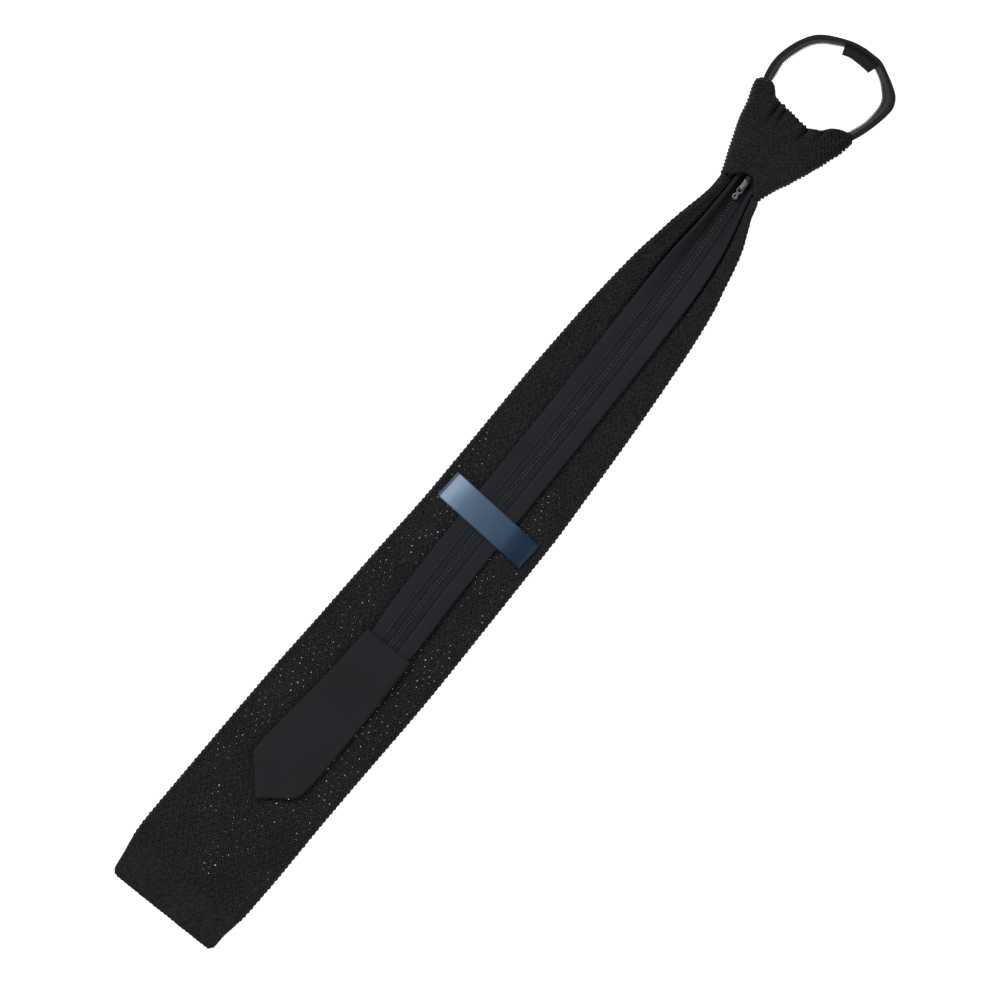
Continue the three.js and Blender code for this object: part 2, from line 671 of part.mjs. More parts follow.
function slider() {
  const half = sliderWidth / 2;
  const narrow = sliderTopWidth / 2;
  const lower = roundedBox(-half, half, sliderLow, sliderHigh, 1.2);
  const upper = roundedBox(-narrow, narrow, sliderLow, sliderHigh, 1);
  const parts = [
    plate(lower, [], sliderPlate, sliderBase),
    plate(upper, [], sliderPlate, sliderTop - sliderPlate),
  ];
  const flangeTop = tapeHeight - tapeThickness / 2 - seatGap;
  for (const sign of [-1, 1]) {
    const [left, right] = sign < 0 ? [-half, -half + sliderFlange] : [half - sliderFlange, half];
    const [bottom, top] = [sliderLow + 0.8, sliderHigh - 3.6];
    parts.push(box(left, right, bottom, top, sliderBase + sliderPlate / 2, flangeTop));
  }
  const wedge = [
    new THREE.Vector2(0, sliderHigh - wedgeLength - 0.1),
    new THREE.Vector2(wedgeWidth / 2, sliderHigh - 0.1),
    new THREE.Vector2(-wedgeWidth / 2, sliderHigh - 0.1),
  ];
  const postHeight = sliderTop - sliderBase - sliderPlate;
  parts.push(plate(wedge, [], postHeight, sliderBase + sliderPlate / 2));
  const arch = roundedBox(bridgeLow, bridgeLow + bridgeLength, -0.4, bridgeHeight, 0.8);
  const under = roundedBox(
    bridgeLow + bridgeBar,
    bridgeLow + bridgeLength - bridgeBar,
    0,
    bridgeHeight - bridgeBar,
    0.3,
  );
  const bridge = plate(arch, [under], bridgeWidth, -bridgeWidth / 2);
  bridge.applyMatrix4(
    new THREE.Matrix4().makeBasis(
      new THREE.Vector3(0, 1, 0),
      new THREE.Vector3(0, 0, 1),
      new THREE.Vector3(1, 0, 0),
    ),
  );
  parts.push(bridge.translate(0, 0, sliderTop));
  return geometryOf(parts.map(solidOf).reduce((all, part) => all.add(part)));
}

// The pull turns about its pin, which runs under the bridge.
const pinY = bridgeLow + bridgeBar + seatGap + pullThickness / 2;
const pinZ = sliderTop + (bridgeHeight - bridgeBar) / 2;

function pull() {
  const half = pullWidth / 2;
  const end = pullThickness / 2;
  const arm = (pullWidth - bridgeWidth) / 2 - seatGap;
  const outline = roundedBox(-half, half, -pullLength, end, 0.4);
  const window = roundedBox(-half + arm, half - arm, -pullWindow, -end, 0.2);
  const rim = (pullWidth - pullEyelet) / 2;
  const eyelet = roundedBox(
    -pullEyelet / 2,
    pullEyelet / 2,
    rim - pullLength,
    rim - pullLength + pullEyeletLength,
    pullEyelet / 2,
  );
  const geometry = plate(outline, [window, eyelet], pullThickness, -end);
  geometry.rotateX(degToRad(pullTilt));
  return geometry.translate(0, pinY, pinZ);
}

function mesh(name, geometry, material) {
  const made = new THREE.Mesh(geometry, material);
  made.name = name;
  return made;
}

const tie = new THREE.Group();
tie.add(mesh("blade", blade(), knit));
tie.add(mesh("knot", knot(), knit));
for (const side of ["left", "right"]) {
  tie.add(mesh(`neck_band_${side}`, neckBand(side), cloth));
  tie.add(mesh(`zip_tape_${side}`, zipTape(side), tapeCloth));
  tie.add(mesh(`zip_coil_${side}`, zipCoil(side), nylon));
}
tie.add(mesh("joint_patch", jointPatch(), cloth));
tie.add(mesh("tail_tip", tailTip(), cloth));
tie.add(mesh("keeper_label", keeperLabel(), satin));
tie.add(mesh("slider", slider(), metal));
tie.add(mesh("pull", pull(), metal));

export default tie;
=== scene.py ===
import math
from bisect import bisect_right
from math import cos, sin, pi, exp, radians

import bmesh
import bpy
from mathutils import Matrix, Vector


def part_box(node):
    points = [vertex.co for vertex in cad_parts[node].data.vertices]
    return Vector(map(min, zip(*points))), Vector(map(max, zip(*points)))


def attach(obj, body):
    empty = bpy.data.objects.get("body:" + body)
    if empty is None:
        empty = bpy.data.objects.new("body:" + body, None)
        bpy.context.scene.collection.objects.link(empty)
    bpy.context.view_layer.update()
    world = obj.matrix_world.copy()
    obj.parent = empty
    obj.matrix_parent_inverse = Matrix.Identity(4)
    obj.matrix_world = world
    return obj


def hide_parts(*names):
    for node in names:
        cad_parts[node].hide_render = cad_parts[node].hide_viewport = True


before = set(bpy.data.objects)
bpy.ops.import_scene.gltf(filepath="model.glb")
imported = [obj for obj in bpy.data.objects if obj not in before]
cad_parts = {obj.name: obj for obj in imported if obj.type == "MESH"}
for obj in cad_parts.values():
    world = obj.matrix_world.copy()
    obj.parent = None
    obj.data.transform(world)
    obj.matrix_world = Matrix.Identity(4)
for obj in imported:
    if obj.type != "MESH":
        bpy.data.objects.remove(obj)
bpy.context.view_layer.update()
print("frame loaded")

mm = 0.001  # shapes are worked out in millimetres and made in metres


# small helpers for numbers and tables

def lerp(a, b, share):
    return a + (b - a) * share


def smooth(value, low, high):
    share = min(max((value - low) / (high - low), 0), 1)
    return share * share * (3 - 2 * share)


def bump(value, middle, spread):
    return exp(-((value - middle) / spread) ** 2)


def pick(table, key, column, place):  # a smooth curve through one column of a table
    keys, values = table[key], table[column]
    if place <= keys[0]:
        return values[0]
    if place >= keys[-1]:
        return values[-1]
    at = bisect_right(keys, place) - 1
    gap = keys[at + 1] - keys[at]

    def slope(index):
        if index <= 0 or index >= len(keys) - 1:
            return 0 if index else (values[1] - values[0]) / (keys[1] - keys[0])
        before = (values[index] - values[index - 1]) / (keys[index] - keys[index - 1])
        after = (values[index + 1] - values[index]) / (keys[index + 1] - keys[index])
        if before * after <= 0:
            return 0
        return 2 * before * after / (before + after)

    t = (place - keys[at]) / gap
    a, b = values[at], values[at + 1]
    ca, cb = slope(at) * gap, slope(at + 1) * gap
    return (a * (2 * t ** 3 - 3 * t ** 2 + 1) + ca * (t ** 3 - 2 * t ** 2 + t)
            + b * (3 * t ** 2 - 2 * t ** 3) + cb * (t ** 3 - t ** 2))


# small helpers for meshes and node trees

def makeMesh(name, points, faces, uvs=None, material=None, weld=True):
    data = bpy.data.meshes.new(name)
    data.from_pydata([(p[0] * mm, p[1] * mm, p[2] * mm) for p in points], [], faces)
    if uvs:
        layer = data.uv_layers.new(name="cloth")
        for loop in data.loops:
            layer.data[loop.index].uv = uvs[loop.vertex_index]
    made = bpy.data.objects.new(name, data)
    bpy.context.scene.collection.objects.link(made)
    work = bmesh.new()
    work.from_mesh(data)
    if weld:
        bmesh.ops.remove_doubles(work, verts=work.verts, dist=0.004 * mm)
    bmesh.ops.recalc_face_normals(work, faces=work.faces)
    work.to_mesh(data)
    work.free()
    for face in data.polygons:
        face.use_smooth = True
    if material:
        data.materials.append(material)
    return made


def loft(name, rings, material=None, looped=False, uvScale=None, maps=None):
    count = len(rings[0])
    points = [p for ring in rings for p in ring]
    faces = []
    last = len(rings) if looped else len(rings) - 1
    for i in range(last):
        a, b = i * count, (i + 1) % len(rings) * count
        for j in range(count):
            k = (j + 1) % count
            faces.append((a + j, a + k, b + k, b + j))
    if not looped:
        faces.append(tuple(range(count))[::-1])
        faces.append(tuple(range(len(points) - count, len(points))))
    uvs = [spot for ring in maps for spot in ring] if maps else None
    if uvScale:
        uvs = []
        far = 0
        for i, ring in enumerate(rings):
            if i:
                far += (Vector(ring[0]) - Vector(rings[i - 1][0])).length
            around = 0
            for j, p in enumerate(ring):
                if j:
                    around += (Vector(p) - Vector(ring[j - 1])).length
                uvs.append((around * uvScale, far * uvScale))
    return makeMesh(name, points, faces, uvs, material, False)


class Link:  # an output socket that can stand in a sum
    def __init__(self, tree, socket):
        self.tree, self.socket = tree, socket

    def maths(self, operation, *parts):
        return self.tree.node("ShaderNodeMath", {"operation": operation}, dict(enumerate(parts)))

    def other(self, name):
        return Link(self.tree, self.socket.node.outputs[name])

    def __add__(self, part): return self.maths("ADD", self, part)
    def __radd__(self, part): return self.maths("ADD", part, self)
    def __sub__(self, part): return self.maths("SUBTRACT", self, part)
    def __rsub__(self, part): return self.maths("SUBTRACT", part, self)
    def __mul__(self, part): return self.maths("MULTIPLY", self, part)
    def __rmul__(self, part): return self.maths("MULTIPLY", part, self)
    def __truediv__(self, part): return self.maths("DIVIDE", self, part)
    def __rtruediv__(self, part): return self.maths("DIVIDE", part, self)
    def __pow__(self, part): return self.maths("POWER", self, part)
    def __neg__(self): return self.maths("MULTIPLY", self, -1)

    def sine(self): return self.maths("SINE", self)
    def cosine(self): return self.maths("COSINE", self)
    def clamped(self): return self.maths("MINIMUM", self.maths("MAXIMUM", self, 0.0), 1.0)

    def channel(self, index):
        return self.tree.node("ShaderNodeSeparateXYZ", {}, {0: self}, index)

    def ranged(self, low, high, toLow=0.0, toHigh=1.0):
        return self.tree.node("ShaderNodeMapRange", {}, {
            "Value": self, "From Min": low, "From Max": high, "To Min": toLow, "To Max": toHigh})


class Tree:
    def __init__(self, group):
        self.group = group

    def node(self, kind, settings=None, sockets=None, out=0):
        made = self.group.nodes.new(kind)
        for name, value in (settings or {}).items():
            if name == "stops":
                ramp = made.color_ramp
                while len(ramp.elements) < len(value):
                    ramp.elements.new(0.5)
                for element, (place, colour) in zip(ramp.elements, value):
                    element.position, element.color = place, colour
            else:
                setattr(made, name, value)
        for key, value in (sockets or {}).items():
            if isinstance(value, Link):
                self.group.links.new(value.socket, made.inputs[key])
            else:
                made.inputs[key].default_value = value
        return Link(self, made.outputs[out]) if made.outputs else made


def newMaterial(name):
    made = bpy.data.materials.new(name)
    made.use_nodes = True
    made.node_tree.nodes.clear()
    return made, Tree(made.node_tree)


def finishMaterial(tree, shaderSockets):
    shader = tree.node("ShaderNodeBsdfPrincipled", {}, shaderSockets)
    tree.node("ShaderNodeOutputMaterial", {}, {"Surface": shader})


def objectSpot(tree):
    return tree.node("ShaderNodeTexCoord", {}, {}, "Object")


def mixColours(tree, share, one, two):
    return tree.node("ShaderNodeMix", {"data_type": "RGBA"}, {0: share, 6: one, 7: two}, 2)


def grain(tree, spot, scale, detail=2.0, rough=0.5):
    return tree.node("ShaderNodeTexNoise", {}, {
        "Vector": spot, "Scale": scale, "Detail": detail, "Roughness": rough})


# finishes

# knit colours: yarn, a pit colour that is painted shade laid into the knit's pits, and a light colour that is
# partly random tone and partly painted highlight on the yarn
knitFinish = {"paintedPitShade": (0.003, 0.0032, 0.0035, 1), "yarn": (0.0055, 0.0058, 0.0064, 1),
              "light": (0.0255, 0.0265, 0.028, 1), "roughness": 0.9, "sheen": 0.04, "fibre": 2400,
              "speck": 950, "cloud": 60, "wander": 0.3}


def knitMaterial():
    made, tree = newMaterial("blackKnit")
    spot = objectSpot(tree)
    fibre = grain(tree, spot, knitFinish["fibre"], 3, 0.6)
    cloud = grain(tree, spot, knitFinish["cloud"], 3)
    loose = grain(tree, spot, 420, 2)
    place = tree.node("ShaderNodeSeparateXYZ", {}, {
        0: tree.node("ShaderNodeUVMap", {"uv_map": "cloth"}, {})})
    across = place + (loose - 0.5) * knitFinish["wander"]
    along = place.other("Y") + (loose.other("Color").channel(1) - 0.5) * knitFinish["wander"] * 1.6
    pits = -((across * (4 * pi)).cosine() * (along * (2 * pi)).cosine())  # 1 in a pit, -1 on a loop
    leg = ((along + across * 0.8) * (4 * pi)).sine()
    speck = grain(tree, spot, knitFinish["speck"], 2, 0.6).ranged(0.36, 0.64)
    # the speck, fibre and cloud noise vary the yarn's tone at random, and the pit term makes the loops
    # lighter than the pits, so the light colour here is also painted highlight on the specks and loops
    share = (speck * 0.7 + fibre * 0.8 + cloud * 0.5 - pits * 0.3 + leg * 0.12 - 0.63).clamped()
    colour = mixColours(tree, share, knitFinish["yarn"], knitFinish["light"])
    # painted shade: the base colour is darkened towards the pit colour in the knit's pits
    colour = mixColours(tree, pits.ranged(0.35, 1.0, 0.0, 0.8), colour, knitFinish["paintedPitShade"])
    height = fibre * 0.5 - pits * 0.8 + leg * 0.2
    normal = tree.node("ShaderNodeBump", {}, {"Strength": 0.6, "Distance": 0.00022, "Height": height})
    finishMaterial(tree, {
        "Base Color": colour, "Roughness": knitFinish["roughness"], "Normal": normal,
        "Sheen Weight": knitFinish["sheen"], "Sheen Roughness": 0.5,
        "Specular IOR Level": 0.12})
    return made


def weaveMaterial(name, finish):  # a fine weave that follows the piece's own map
    made, tree = newMaterial(name)
    place = tree.node("ShaderNodeSeparateXYZ", {}, {
        0: tree.node("ShaderNodeUVMap", {"uv_map": "cloth"}, {})})
    across, along = place, place.other("Y")
    turns = 2 * pi / finish["thread"]
    twill = ((across + along * finish["slant"]) * turns).sine()
    cross = ((along - across * finish["slant"]) * turns * 0.8).sine()
    spot = objectSpot(tree)
    cloud = grain(tree, spot, finish["cloud"], 4, 0.55)
    fine = grain(tree, spot, 3200, 2)
    share = (cloud * 0.7 + fine * 0.3).ranged(0.34, 0.66).clamped()
    colour = mixColours(tree, share, finish["dark"], finish["light"])
    height = twill * 0.5 + cross * 0.3 + fine * 0.6
    normal = tree.node("ShaderNodeBump", {}, {
        "Strength": finish["relief"], "Distance": finish["thread"] * 0.25, "Height": height})
    rough = cloud.ranged(0.3, 0.7, finish["roughness"] - 0.06, finish["roughness"] + 0.06)
    finishMaterial(tree, {
        "Base Color": colour, "Roughness": rough, "Normal": normal,
        "Sheen Weight": finish["sheen"], "Sheen Roughness": 0.4, "Specular IOR Level": 0.1})
    return made


sleeveFinish = {"thread": 0.00045, "slant": 0.6, "cloud": 70, "relief": 0.35, "roughness": 0.7,
                "sheen": 0.03, "dark": (0.0125, 0.013, 0.016, 1), "light": (0.0175, 0.018, 0.0222, 1)}
tapeFinish = {"thread": 0.0006, "slant": 1.0, "cloud": 90, "relief": 0.6, "roughness": 0.8,
              "sheen": 0.04, "dark": (0.0128, 0.0133, 0.016, 1), "light": (0.0195, 0.02, 0.0235, 1)}
coverFinish = {"thread": 0.0004, "slant": 0.5, "cloud": 45, "relief": 0.3, "roughness": 0.72,
               "sheen": 0.03, "dark": (0.0128, 0.013, 0.0155, 1), "light": (0.017, 0.0173, 0.0205, 1)}
darkFinish = {"thread": 0.0007, "slant": 0.8, "cloud": 120, "relief": 0.7, "roughness": 0.88,
              "sheen": 0.02, "dark": (0.006, 0.0066, 0.007, 1), "light": (0.0115, 0.0124, 0.0128, 1)}


def threadMaterial(name, colour, roughness):
    made, tree = newMaterial(name)
    spot = objectSpot(tree)
    twist = grain(tree, spot, 4200, 2)
    shade = mixColours(tree, twist, tuple(c * 0.7 for c in colour) + (1,), colour + (1,))
    normal = tree.node("ShaderNodeBump", {}, {"Strength": 0.3, "Distance": 0.00005, "Height": twist})
    finishMaterial(tree, {"Base Color": shade, "Roughness": roughness, "Normal": normal})
    return made


def metalMaterial():
    made, tree = newMaterial("gunmetal")
    spot = objectSpot(tree)
    brush = grain(tree, spot, 1500, 3)
    wear = grain(tree, spot, 420, 3)
    colour = mixColours(tree, wear, (0.13, 0.132, 0.137, 1), (0.22, 0.224, 0.232, 1))
    rough = brush.ranged(0.3, 0.7, 0.34, 0.48)
    normal = tree.node("ShaderNodeBump", {}, {"Strength": 0.12, "Distance": 0.00004, "Height": brush})
    finishMaterial(tree, {"Base Color": colour, "Roughness": rough, "Metallic": 1.0, "Normal": normal})
    return made


knit = knitMaterial()
sleeveCloth = weaveMaterial("sleeveCloth", sleeveFinish)
tapeWeave = weaveMaterial("tapeWeave", tapeFinish)
coverCloth = weaveMaterial("coverCloth", coverFinish)
darkCloth = weaveMaterial("darkCloth", darkFinish)
nylon = threadMaterial("coilNylon", (0.056, 0.058, 0.062), 0.48)
blackThread = threadMaterial("blackThread", (0.02, 0.021, 0.024), 0.6)
gunmetal = metalMaterial()
print("finishes made")

# the blade, a knitted tube pressed flat

blade = {"length": 434.4, "width": 66, "wall": 1.5, "gap": 0.6, "lift": 2.5, "curl": 3.6,
         "curlPower": 3.2, "mouthY": -21}
bladeTable = {
    "along": [-0.02, 0, 0.0001, 0.004, 0.017, 0.032, 0.054, 0.076, 0.097, 0.119, 0.162, 0.205, 0.249,
              0.292, 0.357, 0.422, 0.465, 0.551, 0.638, 0.724, 0.811, 0.897, 0.941, 0.962, 0.978,
              0.992, 0.9965, 0.999, 1.0],
    "sway": [0, 0, -0.012, -0.006, 0.006, 0.02, 0.034, 0.039, 0.043, 0.048, 0.053, 0.055, 0.059, 0.063,
             0.071, 0.077, 0.075, 0.061, 0.048, 0.025, 0.007, -0.004, -0.011, -0.011, -0.011,
             -0.007, -0.005, -0.004, -0.003],
    "width": [0.2, 0.205, 0.322, 0.334, 0.36, 0.418, 0.511, 0.579, 0.63, 0.689, 0.757, 0.804, 0.839,
              0.868, 0.893, 0.918, 0.925, 0.957, 0.982, 0.993, 0.993, 1.0, 0.993, 0.964, 0.929,
              0.913, 0.903, 0.882, 0.86],
    "lift": [1.05, 1.05, 1.05, 1.05, 0.97, 0.86, 0.62, 0.36, 0.16, 0.04] + [0] * 19,
    "curl": [0, 0, 0.9, 0.9, 1, 0.95, 0.85, 0.7, 0.55, 0.42, 0.25, 0.13, 0.05] + [0] * 16,
}
bladeThickness = 2 * blade["wall"] + blade["gap"]


def bladeAt(column, along):
    return pick(bladeTable, "along", column, along)


def bladeHeight(along, share):
    curl = bladeAt("curl", along) * blade["curl"] * abs(share) ** blade["curlPower"]
    return bladeAt("lift", along) * blade["lift"] + bladeThickness / 2 + curl


# the channel that the zipper's sleeves lie in: its middle and half widths, and how high its sides rise
channelTable = {
    "along": [0, 0.012, 0.028, 0.047, 0.065, 0.093, 0.124, 0.162, 0.22, 0.3],
    "middle": [0, 0.45, 1.0, 1.74, 2.35, 3.0, 3.6, 4.0, 4.3, 4.4],
    "left": [6.1, 6.5, 7.2, 8.2, 9.3, 10.9, 11.9, 12.2, 12.3, 12.3],
    "right": [6.3, 7.0, 8.1, 9.5, 10.6, 11.8, 12.2, 12.4, 12.4, 12.4],
    "riseLeft": [6.8, 6.9, 7.0, 6.9, 6.5, 5.2, 3.2, 1.3, 0.3, 0],
    "riseRight": [6.5, 6.3, 6.1, 5.6, 4.9, 3.5, 1.9, 0.7, 0.1, 0],
}


def clothHeight(along, share):  # the knit's own height, with the channel's sides
    reach = (bladeAt("width", along) * blade["width"] - bladeThickness) / 2
    x = bladeAt("sway", along) * blade["width"] + share * reach
    at = lambda column: pick(channelTable, "along", column, along)
    side = "left" if x < at("middle") else "right"
    out = abs(x - at("middle")) - at(side) - 0.4
    return bladeHeight(along, share) + at("rise" + side.title()) * min(max(out / 1.7, 0), 1)


def bladeTop(y, x):
    along = (blade["mouthY"] - y) / blade["length"]
    share = (x - bladeAt("sway", along) * blade["width"]) / (bladeAt("width", along) * blade["width"] / 2)
    return bladeHeight(along, min(max(share, -1), 1)) + bladeThickness / 2


def bladeSpot(along, share, off):  # off the middle surface, towards the back where positive
    reach = (bladeAt("width", along) * blade["width"] - bladeThickness) / 2
    x = bladeAt("sway", along) * blade["width"] + share * reach
    step = 0.45 / reach
    rise = (clothHeight(along, share + step) - clothHeight(along, share - step)) / (2 * step * reach)
    long = math.hypot(rise, 1)
    y = blade["mouthY"] - along * blade["length"]
    return (x - rise / long * off, y, max(clothHeight(along, share) + off / long, 0.02))


knitCell = {"columns": 19, "rows": 164, "top": 0.0001, "bottom": 0.9565, "rim": (0.13, 0.26),
            "throat": (0.02, 0.075),
            "rimDrop": (0.2, 0.34), "throatDrop": 1.0, "dimple": 0.5, "uneven": 0.085}
# where the holes of the two layers line up: across in shares, along in millimetres, and reach
lineUps = [(-0.9, 185, 0.16, 22), (-0.76, 174, 0.2, 12), (-0.55, 216, 0.24, 18), (-0.55, 280, 0.3, 20),
           (-0.78, 308, 0.28, 42), (-0.8, 350, 0.18, 22), (0.6, 177, 0.2, 14), (0.55, 212, 0.2, 26),
           (0.95, 213, 0.1, 14), (0.58, 280, 0.24, 30), (0.92, 293, 0.18, 30), (0.77, 322, 0.24, 22),
           (0.5, 345, 0.2, 22), (0.9, 352, 0.16, 20), (0.22, 378, 0.42, 18), (0.14, 398, 0.2, 12),
           (-0.45, 378, 0.16, 12), (0.93, 395, 0.1, 10), (0.86, 408, 0.1, 7), (-0.1, 130, 0.2, 10),
           (-0.85, 245, 0.2, 20), (0.9, 250, 0.12, 20)]


def linedUp(share, along):
    total = sum(bump(share, s, a) * bump(along, m, b) for s, m, a, b in lineUps)
    return min(total * 1.6, 1)


def scatter(u, w, seed):  # a fixed, even scatter from -1 to 1 for a place in the knit
    value = sin(u * 127.1 + w * 311.7 + seed * 74.7) * 43758.5453
    return 2 * (value - math.floor(value)) - 1


def layerSpot(side, u, w, drop):
    inside = smooth(u, 0, 0.4) * smooth(knitCell["columns"] - u, 0, 0.4) * knitCell["uneven"]
    a, b = round(u * 8) / 8, round(w * 8) / 8
    if 0 < w < knitCell["rows"]:
        w += scatter(a, b, side) * inside * 0.9
    u += scatter(a, b, side + 3) * inside
    drop += scatter(a, b, side + 7) * 0.12 if 0 < drop < blade["wall"] else 0
    along = lerp(knitCell["top"], knitCell["bottom"], w / knitCell["rows"])
    share = 2 * u / knitCell["columns"] - 1
    if side < 0:
        held = smooth(1 - abs(share), 0.0, 0.1) * (1 - linedUp(share, along * blade["length"]))
        share += held / knitCell["columns"]
    return bladeSpot(along, share, side * (bladeThickness / 2 - drop))


def ringFaces(one, two):  # triangles between two rings of points round the same middle
    turn = lambda p: math.atan2(p[1], p[0]) % (2 * pi)
    first = sorted(range(len(one)), key=lambda i: turn(one[i]))
    second = sorted(range(len(two)), key=lambda i: turn(two[i]))
    made, i, j = [], 0, 0
    while i < len(first) or j < len(second):
        a = turn(one[first[i]]) if i < len(first) else 99
        b = turn(two[second[j]]) if j < len(second) else 99
        here, there = first[i % len(first)], second[j % len(second)]
        if a <= b:
            made.append(((0, here), (0, first[(i + 1) % len(first)]), (1, there)))
            i += 1
        else:
            made.append(((0, here), (1, second[(j + 1) % len(second)]), (1, there)))
            j += 1
    return made


def knitLayer(name, side):
    columns, rows = knitCell["columns"], knitCell["rows"]
    wall = blade["wall"]
    points, faces, uvs = [], [], []

    def put(ring):
        start = len(points)
        points.extend(layerSpot(side, u, w, drop) for u, w, drop in ring)
        uvs.extend((u, w) for u, w, drop in ring)
        return list(range(start, start + len(ring)))

    edge12 = [(-0.5, -0.5), (-0.25, -0.5), (0, -0.5), (0.25, -0.5), (0.5, -0.5), (0.5, 0),
              (0.5, 0.5), (0.25, 0.5), (0, 0.5), (-0.25, 0.5), (-0.5, 0.5), (-0.5, 0)]
    edge8 = [p for p in edge12 if abs(p[0]) != 0.25]
    dimples = {(x, y) for x, y in edge12 if abs(x) == 0.25 or y == 0}
    six = [(cos(radians(60 * k - 120)), sin(radians(60 * k - 120))) for k in range(6)]
    plan = [(0, 1, ringFaces(edge12, six)), (1, 2, ringFaces(six, six)), (2, 3, ringFaces(six, six)),
            (3, 4, ringFaces(six, edge8))]
    for w in range(rows):
        start = 0.5 if w % 2 else 0
        for i in range(columns - (w % 2)):
            u, v = start + i + 0.5, w + 0.5
            rings = [put([(u + a, v + b, knitCell["dimple"] if (a, b) in dimples
                           and 0 < u + a < columns and 0 < v + b < rows else 0) for a, b in edge12])]
            place = lerp(knitCell["top"], knitCell["bottom"], v / rows) * blade["length"]
            chance = scatter(u, v, 11)
            wide = linedUp(2 * u / columns - 1, place) * (0.7 + 0.3 * chance)
            wide = min(wide + max(chance - 0.5, 0) * 0.8, 1)
            rim, throat, rimDrop = (lerp(*knitCell[size], wide) for size in ("rim", "throat", "rimDrop"))
            for size, drop in ((rim, rimDrop), (throat, knitCell["throatDrop"]), (throat, wall)):
                rings.append(put([(u + a * size, v + b * size * 1.2, drop) for a, b in six]))
            rings.append(put([(u + a, v + b, wall) for a, b in edge8]))
            for one, two, made in plan:
                for face in made:
                    faces.append(tuple(rings[two if ring else one][index] for ring, index in face))
        if w % 2:
            for left, right in ((0, 0.5), (columns - 0.5, columns)):
                inner = right if left == 0 else left
                ring = [(left, w), (lerp(left, right, 0.5), w), (right, w), (right, w + 0.5),
                        (right, w + 1), (lerp(left, right, 0.5), w + 1), (left, w + 1), (left, w + 0.5)]
                faces.append(tuple(put([(a, b, knitCell["dimple"] if (a in (0.25, columns - 0.25)
                                         and 0 < b < rows) or (a == inner and b == w + 0.5)
                                         else 0) for a, b in ring])))
                faces.append(tuple(put([(a, b, wall) for a, b in ring if a not in (0.25, columns - 0.25)])))
        for u in (0, columns):
            for low, high in ((w, w + 0.5), (w + 0.5, w + 1)):
                faces.append(tuple(put([(u, low, 0), (u, high, 0), (u, high, wall), (u, low, wall)])))
    for w in (0, rows):
        for i in range(2 * columns):
            faces.append(tuple(put([(i / 2, w, 0), (i / 2 + 0.25, w, 0), (i / 2 + 0.5, w, 0),
                                    (i / 2 + 0.5, w, wall), (i / 2, w, wall)])))
    return makeMesh(name, points, faces, uvs, knit)


def bladeTuck():  # the part that goes up into the knot
    rings = []
    for up, half in ((8.2, 10.2), (5.4, 9.9), (2.6, 9.2), (0.9, 8.7), (0, 8.5)):
        ring = []
        for side in (1, -1):
            for k in range(41):
                x = side * (2 * k / 40 - 1) * half
                middle = blade["lift"] * 1.05 + bladeThickness / 2 + 8.6 * smooth(abs(x), 4.6, 8.4)
                ring.append((x - 0.3, blade["mouthY"] + up, middle + side * bladeThickness / 2))
        rings.append(ring)
    return loft("bladeTuck", rings, knit, uvScale=0.4)


edgeFold = {"steps": 10, "scallop": 0.32, "ridge": 0.28}


def bladeEdge(name, sign):
    rings, maps = [], []
    rows = knitCell["rows"]
    for i in range(rows * 2 + 1):
        along = lerp(knitCell["top"], knitCell["bottom"], i / (2 * rows))
        reach = (bladeAt("width", along) * blade["width"] - bladeThickness) / 2
        wave = edgeFold["scallop"] * (1 if i % 2 else -0.4) * (1 + 0.35 * sin(i * 1.7) * sin(i * 0.23))
        outer, inner = [], []
        middle = bladeSpot(along, sign, 0)
        up = bladeSpot(along, sign, 1)
        lean = math.atan2(up[0] - middle[0], up[2] - middle[2])
        for k in range(edgeFold["steps"] + 1):
            angle = k * pi / edgeFold["steps"]
            radius = bladeThickness / 2
            puff = wave * sin(angle) ** 2 + edgeFold["ridge"] * bump(abs(angle - pi / 2), pi / 2 - 0.32, 0.25)
            for ring, far in ((outer, radius + puff), (inner, blade["gap"] / 2)):
                x = middle[0] + sign * far * sin(angle) * cos(lean) + far * cos(angle) * sin(lean)
                z = middle[2] + far * cos(angle) * cos(lean) - sign * far * sin(angle) * sin(lean)
                ring.append((x, middle[1], max(z, 0.02)))
        rings.append(outer + inner[::-1])
        turned = [(k * 0.16, i / 2) for k in range(edgeFold["steps"] + 1)]
        maps.append(turned + turned[::-1])
    return loft(name, rings, knit, maps=maps)


def bladeHem():
    rings = []
    across, roundSteps, steps = 120, 8, 44
    for index in range(steps + 1):
        along = lerp(0.9565, 1.0, index / steps)
        ripple = 0.22 * (1 if index % 2 else -1) * smooth(1 - along, 0, 0.004)
        thin = 1 if along < 0.994 else lerp(1, 0.62, smooth(along, 0.994, 1.0))
        ring = []
        for sign in (1, -1):
            for k in range(across + 1):
                ring.append(bladeSpot(along, sign * (2 * k / across - 1), sign * thin * bladeThickness / 2))
            middle = bladeSpot(along, sign, 0)
            for k in range(1, roundSteps):
                angle = (0 if sign > 0 else pi) + k * pi / roundSteps
                radius = thin * bladeThickness / 2 + ripple * sin(angle) ** 2
                ring.append((middle[0] + sin(angle) * radius, middle[1],
                             max(middle[2] + cos(angle) * radius, 0.02)))
        frill = 0.3 * smooth(along, 0.994, 1.0)
        rings.append([(x, y + frill * sin(x * 2.9), z) for x, y, z in ring])
    maps = [[(p[0] / 2.1 + (0.2 if p[2] < 2 else 0), p[1] / 2.1) for p in ring] for ring in rings]
    return loft("bladeHem", rings, knit, maps=maps)


def belongs(piece, body, node):
    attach(piece, body)
    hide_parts(node)


bladePieces = [bladeTuck(), knitLayer("bladeKnitBack", 1), knitLayer("bladeKnitFront", -1),
               bladeEdge("bladeEdgeLeft", -1), bladeEdge("bladeEdgeRight", 1), bladeHem()]
for piece in bladePieces:
    belongs(piece, "tie", "blade")
print("blade knitted")

# the knot, a wrapped funnel of the same knit

